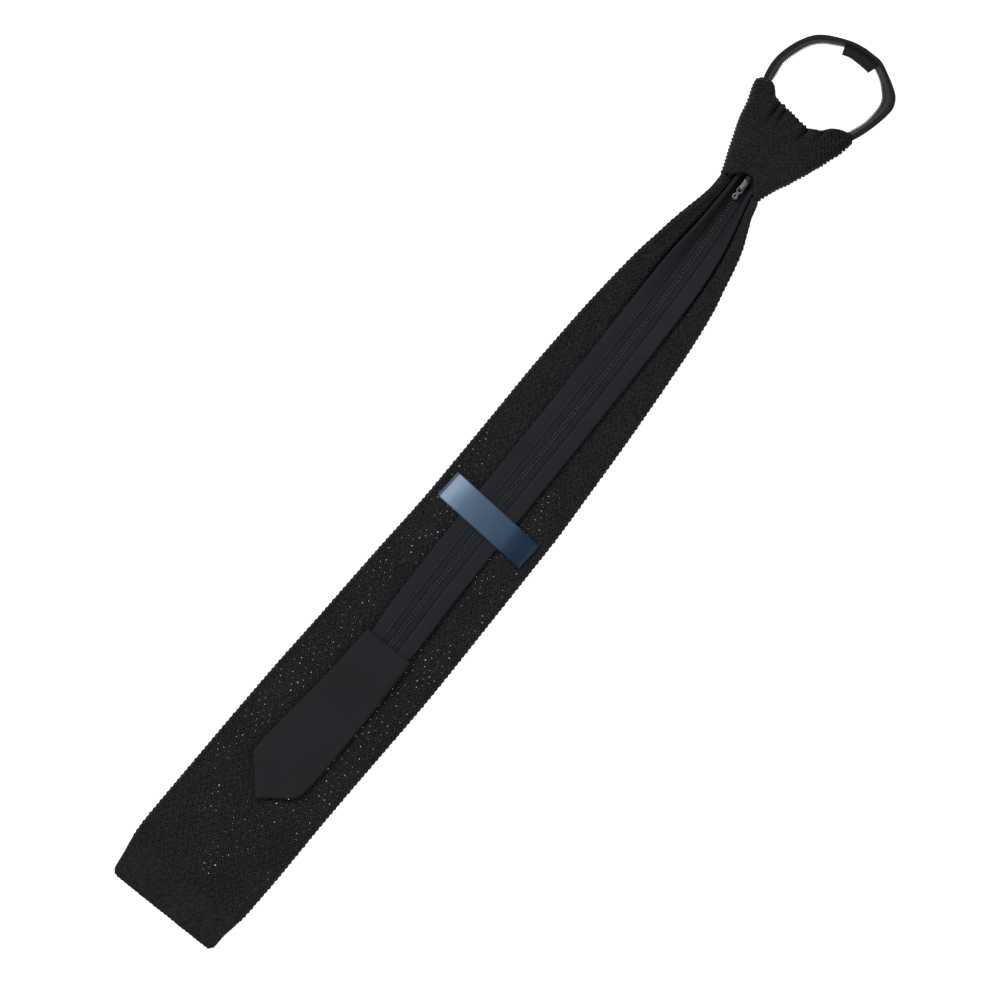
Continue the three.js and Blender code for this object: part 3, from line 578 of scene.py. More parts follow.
knot = {"height": 47, "width": 53.5, "depth": 21, "wall": 2.2, "press": 0.6}
knotTable = {
    "up": [0, 0.15, 0.3, 0.5, 0.7, 0.85, 0.95, 1],
    "shift": [-0.02, -0.02, -0.014, -0.004, 0.006, 0.009, 0.009, 0.006],
    "width": [0.412, 0.502, 0.612, 0.75, 0.862, 0.938, 0.978, 1],
    "depth": [0.81, 0.86, 0.92, 0.98, 1, 1, 1, 1],
    "square": [4, 4.2, 4.6, 5, 5.6, 6, 6, 6],
}
rimTable = {
    "across": [-1, -0.93, -0.755, -0.68, -0.56, -0.378, -0.056, 0.18, 0.32, 0.46, 0.624, 0.82, 0.93, 1],
    "height": [0.947, 0.978, 0.998, 0.965, 0.912, 0.901, 0.881, 0.868, 0.891, 0.93, 1.02, 1.074, 1.085, 1.04],
}
notchTable = {"across": [-1, -0.5, -0.2, 0.2, 0.5, 1], "height": [0, 0.09, 0.145, 0.15, 0.09, 0]}
# folds under the rim: across, spread, depth in millimetres, and how far down they reach
gathers = [(-0.44, 0.05, 5.0, 0.58), (-0.27, 0.045, 4.2, 0.64), (0.25, 0.05, 4.6, 0.66),
           (0.5, 0.045, 2.4, 0.76), (0.02, 0.04, 2.0, 0.8), (-0.62, 0.035, 1.4, 0.8), (0.8, 0.04, 1.4, 0.8)]
knotStitch = {"course": 1.7, "wale": 3.4, "height": 0.6, "rows": 150, "around": 480, "rim": 0.45,
              "leftTurn": 125, "rightTurn": 38.7}
knotCrease = {"y": [-21, -12, -3, 3, 12, 30], "x": [3.2, 0.3, -3.6, -7.6, -9, -10]}  # where the wraps meet


def knotAt(column, up):
    return pick(knotTable, "up", column, up)


def knotSpot(angle, up, inset, relief=0.0):
    halfWidth = knotAt("width", up) * knot["width"] / 2 - inset + relief
    depth = knotAt("depth", up) * knot["depth"]
    power = 2 / knotAt("square", up)
    across = math.copysign(abs(cos(angle)) ** power, cos(angle))
    outward = math.copysign(abs(sin(angle)) ** power, sin(angle))
    back = sin(angle) > 0
    halfDepth = (depth + knot["press"]) / 2 - inset + relief
    z = (depth - knot["press"]) / 2 + outward * halfDepth
    if back:
        pull = sum(d * bump(across, a, s) * smooth(up, low, 1) for a, s, d, low in gathers)
        z -= pull * sin(angle)
    x = knotAt("shift", up) * knot["width"] + across * halfWidth
    rim = pick(rimTable, "across", "height", across)
    mouth = pick(notchTable, "across", "height", across) if back else 0
    y = blade["mouthY"] + lerp(mouth, rim, up) * knot["height"]
    if back:  # one wrap lies over the other
        step = x - pick(knotCrease, "y", "x", y)
        open = smooth(y, -18, -12) * smooth(8 - y, 0, 6) * (0 if inset else 1)
        z += 1.1 * smooth(step, -0.3, 0.3) * smooth(14 - step, 0, 13) * sin(angle) * open
    return x, y, max(z, inset * 0.9 if inset else 0.02), across


def evenAngles(count, squareness=5.0):  # round a squared ring, with points the same way apart
    turn, side = 0.5 ** (1 / squareness), round(count * 0.14)
    top = count // 2 - side
    angles = []
    for k in range(top):
        across = turn * (1 - 2 * k / top)
        angles.append(math.acos(math.copysign(abs(across) ** (squareness / 2), across)))
    for k in range(side):
        outward = turn * (1 - 2 * k / side)
        angles.append(pi - math.asin(math.copysign(abs(outward) ** (squareness / 2), outward)))
    return angles + [a + pi for a in angles]


def knotShell():
    rings, maps = [], []
    count = knotStitch["around"]
    ups = [i / knotStitch["rows"] for i in range(knotStitch["rows"] + 1)]
    eased = evenAngles(count)
    for up in ups:
        bare = [knotSpot(a, up, 0) for a in eased]
        ring, spots = [], []
        for i, (x, y, z, across) in enumerate(bare):
            left = x < pick(knotCrease, "y", "x", y)
            turn = radians(knotStitch["leftTurn" if left else "rightTurn"])
            v = (x * cos(turn) + y * sin(turn)) / knotStitch["course"]
            u = (y * cos(turn) - x * sin(turn) + (0 if abs(across) < 0.9 else z)) / knotStitch["wale"]
            v += 0.12 * sin(u * 2.1 + 1) + 0.08 * sin(v * 0.7 + u * 1.3)
            u += 0.08 * sin(v * 1.7) + 0.06 * sin(u * 2.9 + v * 0.6)
            pits = -cos(4 * pi * u) * cos(2 * pi * v)
            side = smooth(abs(across), 0.62, 0.98)
            high = smooth(up, 0.45, 0.95)
            lobe = high * smooth(across, 0.35, 0.6)
            rib = cos(2 * pi * v) * (0.2 + 0.6 * high + side)
            lift = knotStitch["height"] * (-0.4 * pits * (0.35 + 0.4 * high + 1.6 * lobe) - 0.6 * rib - 0.3)
            lift *= 1 - 0.45 * smooth(up, 0.94, 1)
            lift += 0.3 * sin(x * 0.52 + y * 0.21 + 1) * sin(y * 0.35 - x * 0.15) * smooth(up, 0.1, 0.4)
            x, y, z, across = knotSpot(eased[i], up, 0, lift)
            ragged = knotStitch["rim"] * cos(4 * pi * u) * (smooth(up, 0.97, 1) - 0.7 * smooth(-up, -0.03, 0))
            ring.append((x, y + ragged, z))
            spots.append((u, v))
        rings.append(ring)
        maps.append(spots)
    for i in range(16, -1, -1):
        up = i / 16
        rings.append([knotSpot(a, up, knot["wall"])[:3] for a in eased])
        maps.append([(spot[0], up * 25) for spot in maps[0]])
    return loft("knotWrap", rings, knit, looped=True, maps=maps)


knotPiece = knotShell()
belongs(knotPiece, "tie", "knot")
print("knot wrapped")

# the zipper's two sides, each a tape with a coil, in a sleeve of smooth cloth

band = {"sleeveWidth": 7.4, "sleeveThickness": 2, "tapeReach": 4.4, "tapeThickness": 0.7,
        "coilDrop": 0.5, "coilHeight": 1.5, "tail": 270, "sway": 5.6, "seat": 0.3,
        "loop": 40, "jointShift": 5, "jointGap": 0.3, "jointLean": 8.5, "cornerRoom": 1.2,
        "heldZ": 8.3, "steps": 8}
cornerRise = {"left": 0.96, "right": 0.98}
tailRows = [  # along, sway, left, right, crush
    (1.045, 1, 0, 0, 0.88), (1, 1, 0, 0, 0.9), (0.985, 0.99, 0, 0, 0.95), (0.93, 0.88, 0, 0, 1),
    (0.85, 0.8, 0, 0, 1), (0.7, 0.77, 0, 0, 1), (0.52, 0.8, 0, 0, 1), (0.35, 0.77, 2, 2, 1),
    (0.26, 0.71, 8, 5, 1), (0.2, 0.64, 20, 11, 1), (0.15, 0.54, 38, 24, 1),
    (0.105, 0.42, 56, 40, 0.97), (0.075, 0.31, 66, 52, 0.92), (0.045, 0.18, 74, 65, 0.86),
    (0.02, 0.08, 80, 76, 0.79), (0, 0, 84, 82, 0.74)]
throughRows = [  # up, spread, tape, sleeve, crush
    (0.06, 0.01, 0, 86, 0.72), (0.17, 0.06, 0, 87, 0.72), (0.3, 0.2, 25, 88, 0.78),
    (0.5, 0.48, 62, 88, 0.86), (0.75, 0.8, 82, 87, 0.94)]
loopRows = {  # out, rise, held, lean, puff
    "left": [(-0.834, 0.155, 0.75, 20, 1.15), (-0.85, 0.31, 0.45, 16, 1.15),
             (-0.781, 0.5, 0.2, 15, 1.2), (-0.708, 0.622, 0.08, 13, 1.2), (-0.61, 0.727, 0, 11, 1.25),
             (-0.479, 0.806, 0, 8.6, 1.25), (-0.308, 0.872, 0, 7.2, 1.15), (-0.112, 0.935, 0, 6, 1),
             (0.037, 0.963, 0, 6, 1)],
    "right": [(0.922, 0.15, 0.86, 16, 1.35), (1.02, 0.34, 0.5, 14.5, 1.4), (1.055, 0.485, 0.22, 18, 1.4),
              (1.064, 0.578, 0.12, 21, 1.4), (1.055, 0.654, 0.05, 24, 1.35), (1.009, 0.727, 0, 23, 1.3),
              (0.915, 0.794, 0, 19, 1.15), (0.73, 0.888, 0, 12, 1), (0.495, 0.962, 0, 11, 1),
              (0.334, 0.97, 0, 9.5, 1)],
}
cornerLean = {"left": 15, "right": 13}
mouthRise = 0.8 + band["seat"] - band["sleeveThickness"] / 2 + band["coilDrop"] + band["seat"]
tipRise = 1 + band["seat"]


def sideRows(side):
    sign = -1 if side == "left" else 1
    rows = []
    for share, sway, left, right, crush in tailRows:
        along = share * band["tail"]
        x = sway * band["sway"] + sign * band["tapeReach"]
        y = blade["mouthY"] - along
        z = bladeTop(y, x - sign * band["tapeReach"]) + band["seat"] + band["sleeveThickness"] / 2
        rise = (1 - smooth(along, 0, 0.2 * band["tail"])) * mouthRise
        rise += smooth(along, 0.85 * band["tail"], 0.985 * band["tail"]) * tipRise
        rows.append((x, y, z + rise, left if side == "left" else right, 0, crush, 1))
    mouth = rows[-1]
    cornerX = knotAt("shift", 1) * knot["width"]
    cornerX += sign * (knot["width"] / 2 - knot["wall"] - band["sleeveThickness"] - band["cornerRoom"])
    cornerY = blade["mouthY"] + cornerRise[side] * knot["height"]
    for up, spread, tape, sleeve, crush in throughRows:
        rows.append((lerp(mouth[0], cornerX, spread), lerp(blade["mouthY"], cornerY, up),
                     lerp(mouth[2], band["heldZ"], smooth(up, 0.2, 0.8)), sleeve, tape, crush, 1))
    jointX = band["jointShift"] + sign * band["jointGap"] / 2
    corner = (cornerX / (knot["width"] / 2), (cornerRise[side] - 1) * knot["height"] / band["loop"], 1,
              cornerLean[side], 1.1)
    joint = (jointX / (knot["width"] / 2), 0.971, 0, band["jointLean"], 1)
    for out, rise, held, lean, puff in [corner] + loopRows[side] + [joint]:
        rows.append((out * knot["width"] / 2, blade["mouthY"] + knot["height"] + rise * band["loop"],
                     lerp(band["tapeReach"] - band["seat"] / 4, band["heldZ"], held),
                     90 - lean, 90 - lean, 1, puff))
    return rows


def throughPoints(rows, place):  # a rounded curve through the rows' points
    at = min(int(place), len(rows) - 2)
    t = place - at
    p1, p2 = Vector(rows[at][:3]), Vector(rows[at + 1][:3])
    p0 = Vector(rows[at - 1][:3]) if at else p1 * 2 - p2
    p3 = Vector(rows[at + 2][:3]) if at + 2 < len(rows) else p2 * 2 - p1
    d0, d1, d2 = ((p1 - p0).length ** 0.5, (p2 - p1).length ** 0.5, (p3 - p2).length ** 0.5)
    m1 = ((p1 - p0) / d0 - (p2 - p0) / (d0 + d1) + (p2 - p1) / d1) * d1
    m2 = ((p2 - p1) / d1 - (p3 - p1) / (d1 + d2) + (p3 - p2) / d2) * d1
    return p1 + m1 * t + (-3 * p1 + 3 * p2 - 2 * m1 - m2) * t ** 2 + (2 * p1 - 2 * p2 + m1 + m2) * t ** 3


jointSlope = (-1, -0.03)  # the way that the right band runs at the joint


def stations(side, steps=None):
    steps = steps or band["steps"]
    sign = -1 if side == "left" else 1
    rows = sideRows(side)
    made = []
    for i in range((len(rows) - 1) * steps + 1):
        place = i / steps
        at = min(int(place), len(rows) - 2)
        t = place - at
        a, b = rows[at], rows[at + 1]
        before, after = rows[max(at - 1, 0)], rows[min(at + 2, len(rows) - 1)]

        def eased(column):
            m1, m2 = (b[column] - before[column]) / 2, (after[column] - a[column]) / 2
            low, high = min(a[column], b[column]), max(a[column], b[column])
            value = (a[column] * (2 * t ** 3 - 3 * t ** 2 + 1) + m1 * (t ** 3 - 2 * t ** 2 + t)
                     + b[column] * (3 * t ** 2 - 2 * t ** 3) + m2 * (t ** 3 - t ** 2))
            return min(max(value, low), high)
        near = throughPoints(rows, max(place - 0.003, 0))
        far = throughPoints(rows, min(place + 0.003, len(rows) - 1))
        way = (far - near).normalized()
        level = Vector((way.x, way.y, 0)).normalized()
        made.append({
            "point": throughPoints(rows, place), "way": way,
            "outward": Vector((sign * level.y, -sign * level.x, 0)),
            "sleeve": radians(eased(3)), "tape": radians(eased(4)), "crush": eased(5),
            "puff": eased(6)})
    meet = Vector((band["jointShift"], made[-1]["point"].y, made[-1]["point"].z))
    lie = Vector((sign * jointSlope[0], sign * jointSlope[1], 0)).normalized()
    for i in range(10):  # the two bands end on one line
        share = smooth(10 - i, 0, 10)
        s = made[-1 - i]
        s["outward"] = s["outward"].lerp(Vector((lie.y * sign, -lie.x * sign, 0)), share).normalized()
        if i == 0:
            s["point"] = meet
    return made


def sectionRing(station, angle, sense, corners):
    up = Vector((0, 0, 1))
    way = station["outward"] * (cos(angle) * sense) + up * (sin(angle) * sense)
    across = station["outward"] * -sin(angle) + up * cos(angle)
    return [tuple(station["point"] + way * a + across * b) for a, b in corners]


def sleeveProfile(width, puff):  # a fold of cloth, sewn down near its inner edge
    top = [(0.0, 0.35), (0.06, 0.5), (0.35, 0.56), (0.8, 0.6), (1.0, 0.52), (1.2, 0.62), (1.7, 0.74),
           (2.6, 0.88), (4.0, 0.98), (5.4, 1.0), (6.5, 0.97), (7.0, 0.85), (7.28, 0.6), (7.38, 0.3)]
    scale = width / band["sleeveWidth"]
    half = [(a * scale, b * puff) for a, b in top]
    return half + [(a, -b) for a, b in reversed(half)]


def sleeve(side):
    rings = [sectionRing(s, s["sleeve"], 1, sleeveProfile(band["sleeveWidth"] * s["crush"], s["puff"]))
             for s in stations(side)]
    return loft("sleeve" + side.title(), rings, sleeveCloth, uvScale=mm)


def tape(side):
    half = band["tapeThickness"] / 2
    end = band["tapeReach"] - 1.3
    rings = []
    for s in stations(side):
        start = 0.02 + 0.5 * sin(s["sleeve"] - s["tape"])
        corners = [(start, half * 0.8), (lerp(start, end, 0.25), half), (lerp(start, end, 0.5), half),
                   (lerp(start, end, 0.8), half), (end, half * 0.7)]
        corners += [(a, -b) for a, b in reversed(corners)]
        rings.append(sectionRing(s, s["tape"], -1, corners))
    return loft("tape" + side.title(), rings, tapeWeave, uvScale=mm)


# what repeats along a path: coil teeth and stitches

def pathMesh(name, spots):  # a line of points that keeps each point's sideways direction
    data = bpy.data.meshes.new(name)
    data.from_pydata([Vector(p) * mm for p, _ in spots], [(i, i + 1) for i in range(len(spots) - 1)], [])
    side = data.attributes.new("sideways", "FLOAT_VECTOR", "POINT")
    for i, (_, across) in enumerate(spots):
        side.data[i].vector = across
    made = bpy.data.objects.new(name, data)
    bpy.context.scene.collection.objects.link(made)
    return made


def alongPathTree(name, sizes, build):
    group = bpy.data.node_groups.new(name, "GeometryNodeTree")
    group.interface.new_socket("Geometry", in_out="INPUT", socket_type="NodeSocketGeometry")
    for label, value in sizes.items():
        made = group.interface.new_socket(label, in_out="INPUT", socket_type="NodeSocketFloat")
        made.default_value = value
    finish = group.interface.new_socket("Finish", in_out="INPUT", socket_type="NodeSocketMaterial")
    group.interface.new_socket("Geometry", in_out="OUTPUT", socket_type="NodeSocketGeometry")
    tree = Tree(group)
    start = tree.node("NodeGroupInput", {}, {})
    curve = tree.node("GeometryNodeMeshToCurve", {}, {0: start})
    curve = tree.node("GeometryNodeResampleCurve", {"mode": "LENGTH"}, {
        "Curve": curve, "Length": start.other("Pitch")})
    sideways = tree.node("GeometryNodeInputNamedAttribute", {"data_type": "FLOAT_VECTOR"}, {
        "Name": "sideways"})
    turn = tree.node("FunctionNodeAxesToRotation", {"primary_axis": "Z", "secondary_axis": "X"}, {
        0: tree.node("GeometryNodeInputTangent"), 1: sideways})
    placed = tree.node("GeometryNodeInstanceOnPoints", {}, {
        "Points": curve, "Instance": build(tree, start), "Rotation": turn})
    real = tree.node("GeometryNodeRealizeInstances", {}, {0: placed})
    real = tree.node("GeometryNodeSetShadeSmooth", {}, {0: real})
    done = tree.node("GeometryNodeSetMaterial", {}, {"Geometry": real, "Material": start.other("Finish")})
    tree.node("NodeGroupOutput", {}, {0: done})
    return group


def stitchShape(tree, start):
    ball = tree.node("GeometryNodeMeshUVSphere", {}, {"Segments": 6, "Rings": 4, "Radius": 1.0})
    thick = start.other("Thickness") * 0.5
    size = tree.node("ShaderNodeCombineXYZ", {}, {0: thick, 1: thick, 2: start.other("Length") * 0.5})
    return tree.node("GeometryNodeTransform", {}, {"Geometry": ball, "Scale": size})


def toothShape(tree, start):  # one turn of the nylon coil, a flattened ring
    circle = tree.node("GeometryNodeCurvePrimitiveCircle", {}, {"Resolution": 8, "Radius": 1.0})
    size = tree.node("ShaderNodeCombineXYZ", {}, {
        0: start.other("Width") * 0.5 - start.other("Wire") * 0.5,
        1: start.other("Height") * 0.5 - start.other("Wire") * 0.5, 2: 1.0})
    circle = tree.node("GeometryNodeTransform", {}, {"Geometry": circle, "Scale": size})
    wire = tree.node("GeometryNodeCurvePrimitiveCircle", {}, {
        "Resolution": 4, "Radius": start.other("Wire") * 0.5})
    ring = tree.node("GeometryNodeCurveToMesh", {}, {"Curve": circle, "Profile Curve": wire})
    turn = tree.node("ShaderNodeCombineXYZ", {}, {1: start.other("Lean")})
    return tree.node("GeometryNodeTransform", {}, {"Geometry": ring, "Rotation": turn})


stitchTree = alongPathTree("stitchRow", {"Pitch": 0.0025, "Length": 0.0018, "Thickness": 0.0003}, stitchShape)
toothTree = alongPathTree("coilRow", {"Pitch": 0.0009, "Width": 0.0014, "Height": 0.0012, "Wire": 0.00045,
                                      "Lean": 0.3}, toothShape)


def grown(name, spots, tree, finish, **sizes):  # runs a tree on a path and keeps the plain mesh
    made = pathMesh(name + "Path", spots)
    modifier = made.modifiers.new("row", "NODES")
    modifier.node_group = tree
    for item in tree.interface.items_tree:
        if item.item_type == "SOCKET" and item.in_out == "INPUT":
            if item.name in sizes:
                modifier[item.identifier] = sizes[item.name]
            elif item.name == "Finish":
                modifier[item.identifier] = finish
    depsgraph = bpy.context.evaluated_depsgraph_get()
    data = bpy.data.meshes.new_from_object(made.evaluated_get(depsgraph))
    made.modifiers.clear()
    bpy.data.objects.remove(made)
    data.name = name
    result = bpy.data.objects.new(name, data)
    bpy.context.scene.collection.objects.link(result)
    return result


def bandSpots(side, angleName, sense, a, b, shift=0.0):
    spots = []
    for s in stations(side):
        angle = s[angleName]
        reach = a * s["crush"] if angleName == "sleeve" else a
        point = sectionRing(s, angle, sense, [(reach, b)])[0]
        across = s["outward"] * cos(angle) + Vector((0, 0, 1)) * sin(angle)
        spots.append((Vector(point) + s["way"] * shift, across))
    return spots


for side in ("left", "right"):
    cloth = sleeve(side)
    weave = tape(side)
    middle = band["coilHeight"] / 2 - band["coilDrop"]
    reach = band["tapeReach"] - 0.68
    coil = grown("coil" + side.title(),
                 bandSpots(side, "tape", -1, reach, middle, shift=0.45 if side == "left" else 0.0),
                 toothTree, nylon, Pitch=0.0009, Width=0.00162, Height=0.0013, Wire=0.00046,
                 Lean=0.32 if side == "left" else -0.32)
    seams = [grown("seam" + side.title() + label, bandSpots(side, "sleeve", 1, 1.0, b), stitchTree,
                   blackThread, Pitch=0.0021, Length=0.0017, Thickness=0.0003)
             for label, b in (("Back", 0.5), ("Front", -0.5))]
    for piece, node, slot in [(cloth, "neck_band_", "cloth"), (weave, "zip_tape_", "tape"),
                              (coil, "zip_coil_", "nylon")] + [(s, "neck_band_", "cloth") for s in seams]:
        belongs(piece, "tie", node + side)
print("zipper sewn into its sleeves")

# the patch over the loop's joint

patch = {"length": 18.6, "low": -4.1, "height": 10.6, "gap": 1.25, "thickness": 1.3, "flare": 2.0}


def jointPatch():
    top = blade["mouthY"] + knot["height"] + band["loop"] / 2
    rings = []
    for side in ("left", "right"):
        close = [s for s in stations(side, 12)
                 if abs(s["point"].x - band["jointShift"]) < patch["length"] / 2 and s["point"].y > top]
        rings += close if side == "left" else close[::-1]
    low, high = patch["low"], patch["low"] + patch["height"]
    near, far, flare = patch["gap"], patch["gap"] + patch["thickness"], patch["flare"]
    corners = [(low, near + flare + 0.3), (low + 0.2, near + flare), (low + 4, near + 0.4),
               (high - 0.3, near),
               (high, near + 0.3), (high, far - 0.35), (high - 0.35, far), (high - 1.5, far + 0.15),
               (low + 4, far + flare * 0.45), (low + 0.8, far + flare), (low + 0.2, far + flare - 0.1),
               (low, far + flare - 0.4)]
    return loft("jointPatch", [sectionRing(s, s["sleeve"], 1, corners) for s in rings], darkCloth,
                uvScale=mm)


joint = jointPatch()
belongs(joint, "tie", "joint_patch")
print("joint patched")

# the tail's tip cover, a flat pocket

tip = {"length": 94.5, "width": 32.4, "wall": 1, "hollow": 2.6, "open": 0.81}
tipTable = {
    "down": [0, 0.085, 0.148, 0.275, 0.381, 0.624, 0.762, 0.804, 0.836, 0.873, 0.894, 0.984, 1],
    "left": [-0.42, -0.432, -0.438, -0.463, -0.491, -0.568, -0.602, -0.605, -0.58, -0.5, -0.441,
             -0.21, -0.167],
    "right": [0.389, 0.392, 0.398, 0.404, 0.407, 0.395, 0.38, 0.37, 0.358, 0.327, 0.272, -0.068,
              -0.114],
    "swell": [1, 1, 1, 0.35, 0.2, 0.2, 0.2, 0.2, 0.2, 0.2, 0.2, 0.2, 0.2],
}


def tipRing(down, inset):
    at = lambda column: pick(tipTable, "down", column, down)
    y = blade["mouthY"] - band["tail"] - down * tip["length"]
    middle = band["sway"] + (at("left") + at("right")) / 2 * tip["width"]
    half = (at("right") - at("left")) / 2 * tip["width"] - inset
    height = tip["hollow"] * at("swell") + 2 * (tip["wall"] - inset)
    base = bladeTop(y, middle) + band["seat"] + inset
    edge = min(height / 2, half * 0.8)
    ring = []
    for sign in (1, -1):
        for k in range(9):
            angle = k * pi / 8 - sign * pi / 2
            ring.append((middle + sign * (half - edge) + cos(angle) * edge, y,
                         base + height * (1 + sin(angle)) / 2))
    flat = []
    for i, p in enumerate(ring):  # points across the flat faces too
        flat.append(p)
        if i in (8, 17):
            q = ring[(i + 1) % 18]
            for k in range(1, 24):
                flat.append(tuple(lerp(p[n], q[n], k / 24) for n in range(3)))
    return flat


def tipCover():
    downs = [i / 90 for i in range(91)]
    outer = [tipRing(d, 0) for d in reversed(downs)]
    hollow = [tipRing(d, tip["wall"]) for d in downs if d <= tip["open"]]
    return loft("tipCover", outer + hollow, coverCloth, uvScale=mm)


cover = tipCover()
belongs(cover, "tie", "tail_tip")
print("tip covered")

# the keeper label, satin, with its ends turned under

label = {"length": 51.8, "width": 14.6, "thickness": 0.5, "distance": 195, "turn": -3.5, "shift": 4.7,
         "ramp": 6, "fold": 1.5}


def labelMaterial():
    made, tree = newMaterial("navySatin")
    place = tree.node("ShaderNodeSeparateXYZ", {}, {
        0: tree.node("ShaderNodeUVMap", {"uv_map": "cloth"}, {})})
    across, along = place, place.other("Y")
    spot = objectSpot(tree)
    cloud = grain(tree, spot, 90, 3)
    # painted sheen: along the label the base colour runs from pale steel blue at the left end to dark navy,
    # lighter again at the right end, standing in for the satin's sheen
    paintedSheenRun = (along * 1000 / label["length"] + cloud * 0.1 - 0.05).clamped()
    base = tree.node("ShaderNodeValToRGB", {"stops": [
        (0.0, (0.25, 0.33, 0.44, 1)), (0.07, (0.275, 0.352, 0.46, 1)), (0.12, (0.212, 0.3, 0.41, 1)),
        (0.17, (0.128, 0.208, 0.293, 1)), (0.25, (0.084, 0.133, 0.198, 1)), (0.5, (0.052, 0.087, 0.141, 1)),
        (0.62, (0.042, 0.074, 0.126, 1)), (0.7, (0.032, 0.063, 0.111, 1)),
        (0.81, (0.0145, 0.0345, 0.0686, 1)),
        (0.87, (0.007, 0.0215, 0.049, 1)), (0.96, (0.0055, 0.0195, 0.046, 1)),
        (1.0, (0.015, 0.028, 0.05, 1))]}, {0: paintedSheenRun})
    # painted shade: the label is darkened over its first millimetre and a half at the turned-under left end,
    # along its fold
    base = mixColours(tree, (along * 1000).ranged(1.2, 1.5, 0.85, 0.0), base, (0.03, 0.045, 0.062, 1))
    selvedge = (across * 1000 - label["width"] / 2).maths("ABSOLUTE", across * 1000 - label["width"] / 2)
    base = mixColours(tree, selvedge.ranged(label["width"] / 2 - 0.6, label["width"] / 2 - 0.2, 0.0, 0.6),
                      base, (0.006, 0.017, 0.03, 1))
    ribsAcross = (along * (2 * pi / 0.00045)).sine()
    streak = grain(tree, tree.node("ShaderNodeVectorMath", {"operation": "MULTIPLY"}, {
        0: spot, 1: (300.0, 2600.0, 300.0)}), 1.0, 2)
    normal = tree.node("ShaderNodeBump", {}, {
        "Strength": 0.25, "Distance": 0.0001, "Height": ribsAcross * 0.5 + streak})
    finishMaterial(tree, {"Base Color": base, "Roughness": streak.ranged(0.3, 0.7, 0.46, 0.6),
                          "Normal": normal, "Sheen Weight": 0.02, "Sheen Roughness": 0.35,
                          "Specular IOR Level": 0.12})
    return made


def keeperLabel():
    y = blade["mouthY"] - label["distance"]
    turn = radians(label["turn"])
    reach = band["tapeReach"] + band["sleeveWidth"] + band["seat"]
    low = bladeTop(y, band["sway"]) + band["seat"]
    high = low + band["sleeveThickness"] + band["seat"]
    rings = []
    steps, cross = 96, 12
    for i in range(steps + 1):
        along = (i / steps - 0.5) * label["length"]
        base = lerp(high, low, smooth(abs(along) - reach, 0, label["ramp"]))
        ring = []
        for k in range(cross + 1):
            side = (2 * k / cross - 1) * label["width"] / 2
            wave = 0.1 * sin(along * 0.5 + side * 0.25)
            turned = 0.3 * smooth(label["fold"] - along - label["length"] / 2, 0, 0.35)
            ring.append((side, base + wave + label["thickness"] + turned))
        for k in range(cross, -1, -1):
            side = (2 * k / cross - 1) * label["width"] / 2
            wave = 0.1 * sin(along * 0.5 + side * 0.25)
            ring.append((side, base + wave))
        rings.append([(label["shift"] + along * cos(turn) - s * sin(turn),
                       y + along * sin(turn) + s * cos(turn), z) for s, z in ring])
    return loft("keeperLabel", rings, labelMaterial(), uvScale=mm)


keeper = keeperLabel()
belongs(keeper, "tie", "keeper_label")
print("label laid")

# the slider and its pull, pressed metal with rounded edges

slide = {"length": 8, "low": -22, "width": 4.7, "topWidth": 2.7, "plate": 0.8, "bridgeLow": -21.9,
         "bridgeLength": 6.2, "bridgeWidth": 1.25, "bridgeHeight": 2.2, "bar": 0.8, "round": 0.22}
pullShape = {"length": 6.7, "width": 2.9, "thickness": 0.6, "tilt": 6.4, "waist": 1.4, "round": 0.2,
             "pin": (0, -20.4, 11.55)}


def arc(x, y, radius, start, end, steps=8):
    return [(x + radius * cos(radians(lerp(start, end, k / steps))),
             y + radius * sin(radians(lerp(start, end, k / steps)))) for k in range(steps + 1)]


def pressedPlate(name, outline, holes, thickness, rounding):  # lies level round the origin
    data = bpy.data.curves.new(name, "CURVE")
    data.dimensions, data.fill_mode = "2D", "BOTH"
    data.bevel_depth, data.bevel_resolution = rounding, 3
    data.extrude = thickness / 2 - rounding
    data.offset = -rounding
    for loop in [outline] + holes:
        spline = data.splines.new("POLY")
        spline.points.add(len(loop) - 1)
        for point, (x, y) in zip(spline.points, loop):
            point.co = (x, y, 0, 1)
        spline.use_cyclic_u = True
    holder = bpy.data.objects.new(name, data)
    bpy.context.scene.collection.objects.link(holder)
    depsgraph = bpy.context.evaluated_depsgraph_get()
    mesh = bpy.data.meshes.new_from_object(holder.evaluated_get(depsgraph))
    bpy.data.objects.remove(holder)
    work = bmesh.new()
    work.from_mesh(mesh)
    bmesh.ops.remove_doubles(work, verts=work.verts, dist=0.002)
    bmesh.ops.recalc_face_normals(work, faces=work.faces)
    work.to_mesh(mesh)
    work.free()
    return mesh


def joinMeshes(name, parts, material):  # parts are meshes with the matrix that places each
    work = bmesh.new()
    for mesh, place in parts:
        mesh.transform(place)
        work.from_mesh(mesh)
    data = bpy.data.meshes.new(name)
    work.to_mesh(data)
    work.free()
    data.transform(Matrix.Scale(mm, 4))
    data.materials.clear()
    data.materials.append(material)
    for face in data.polygons:
        face.use_smooth = True
        face.material_index = 0
    data.set_sharp_from_angle(angle=radians(40))
    made = bpy.data.objects.new(name, data)
    bpy.context.scene.collection.objects.link(made)
    return made


def roundedOutline(left, right, low, high, radius):
    corners = [(right - radius, high - radius), (left + radius, high - radius),
               (left + radius, low + radius), (right - radius, low + radius)]
    return [spot for k, (x, y) in enumerate(corners) for spot in arc(x, y, radius, 90 * k, 90 * k + 90)]


sliderBase = bladeTop(slide["low"], slide["width"] / 2) + band["seat"]
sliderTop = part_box("slider")[1][2] / mm - slide["bridgeHeight"]
high = slide["low"] + slide["length"]


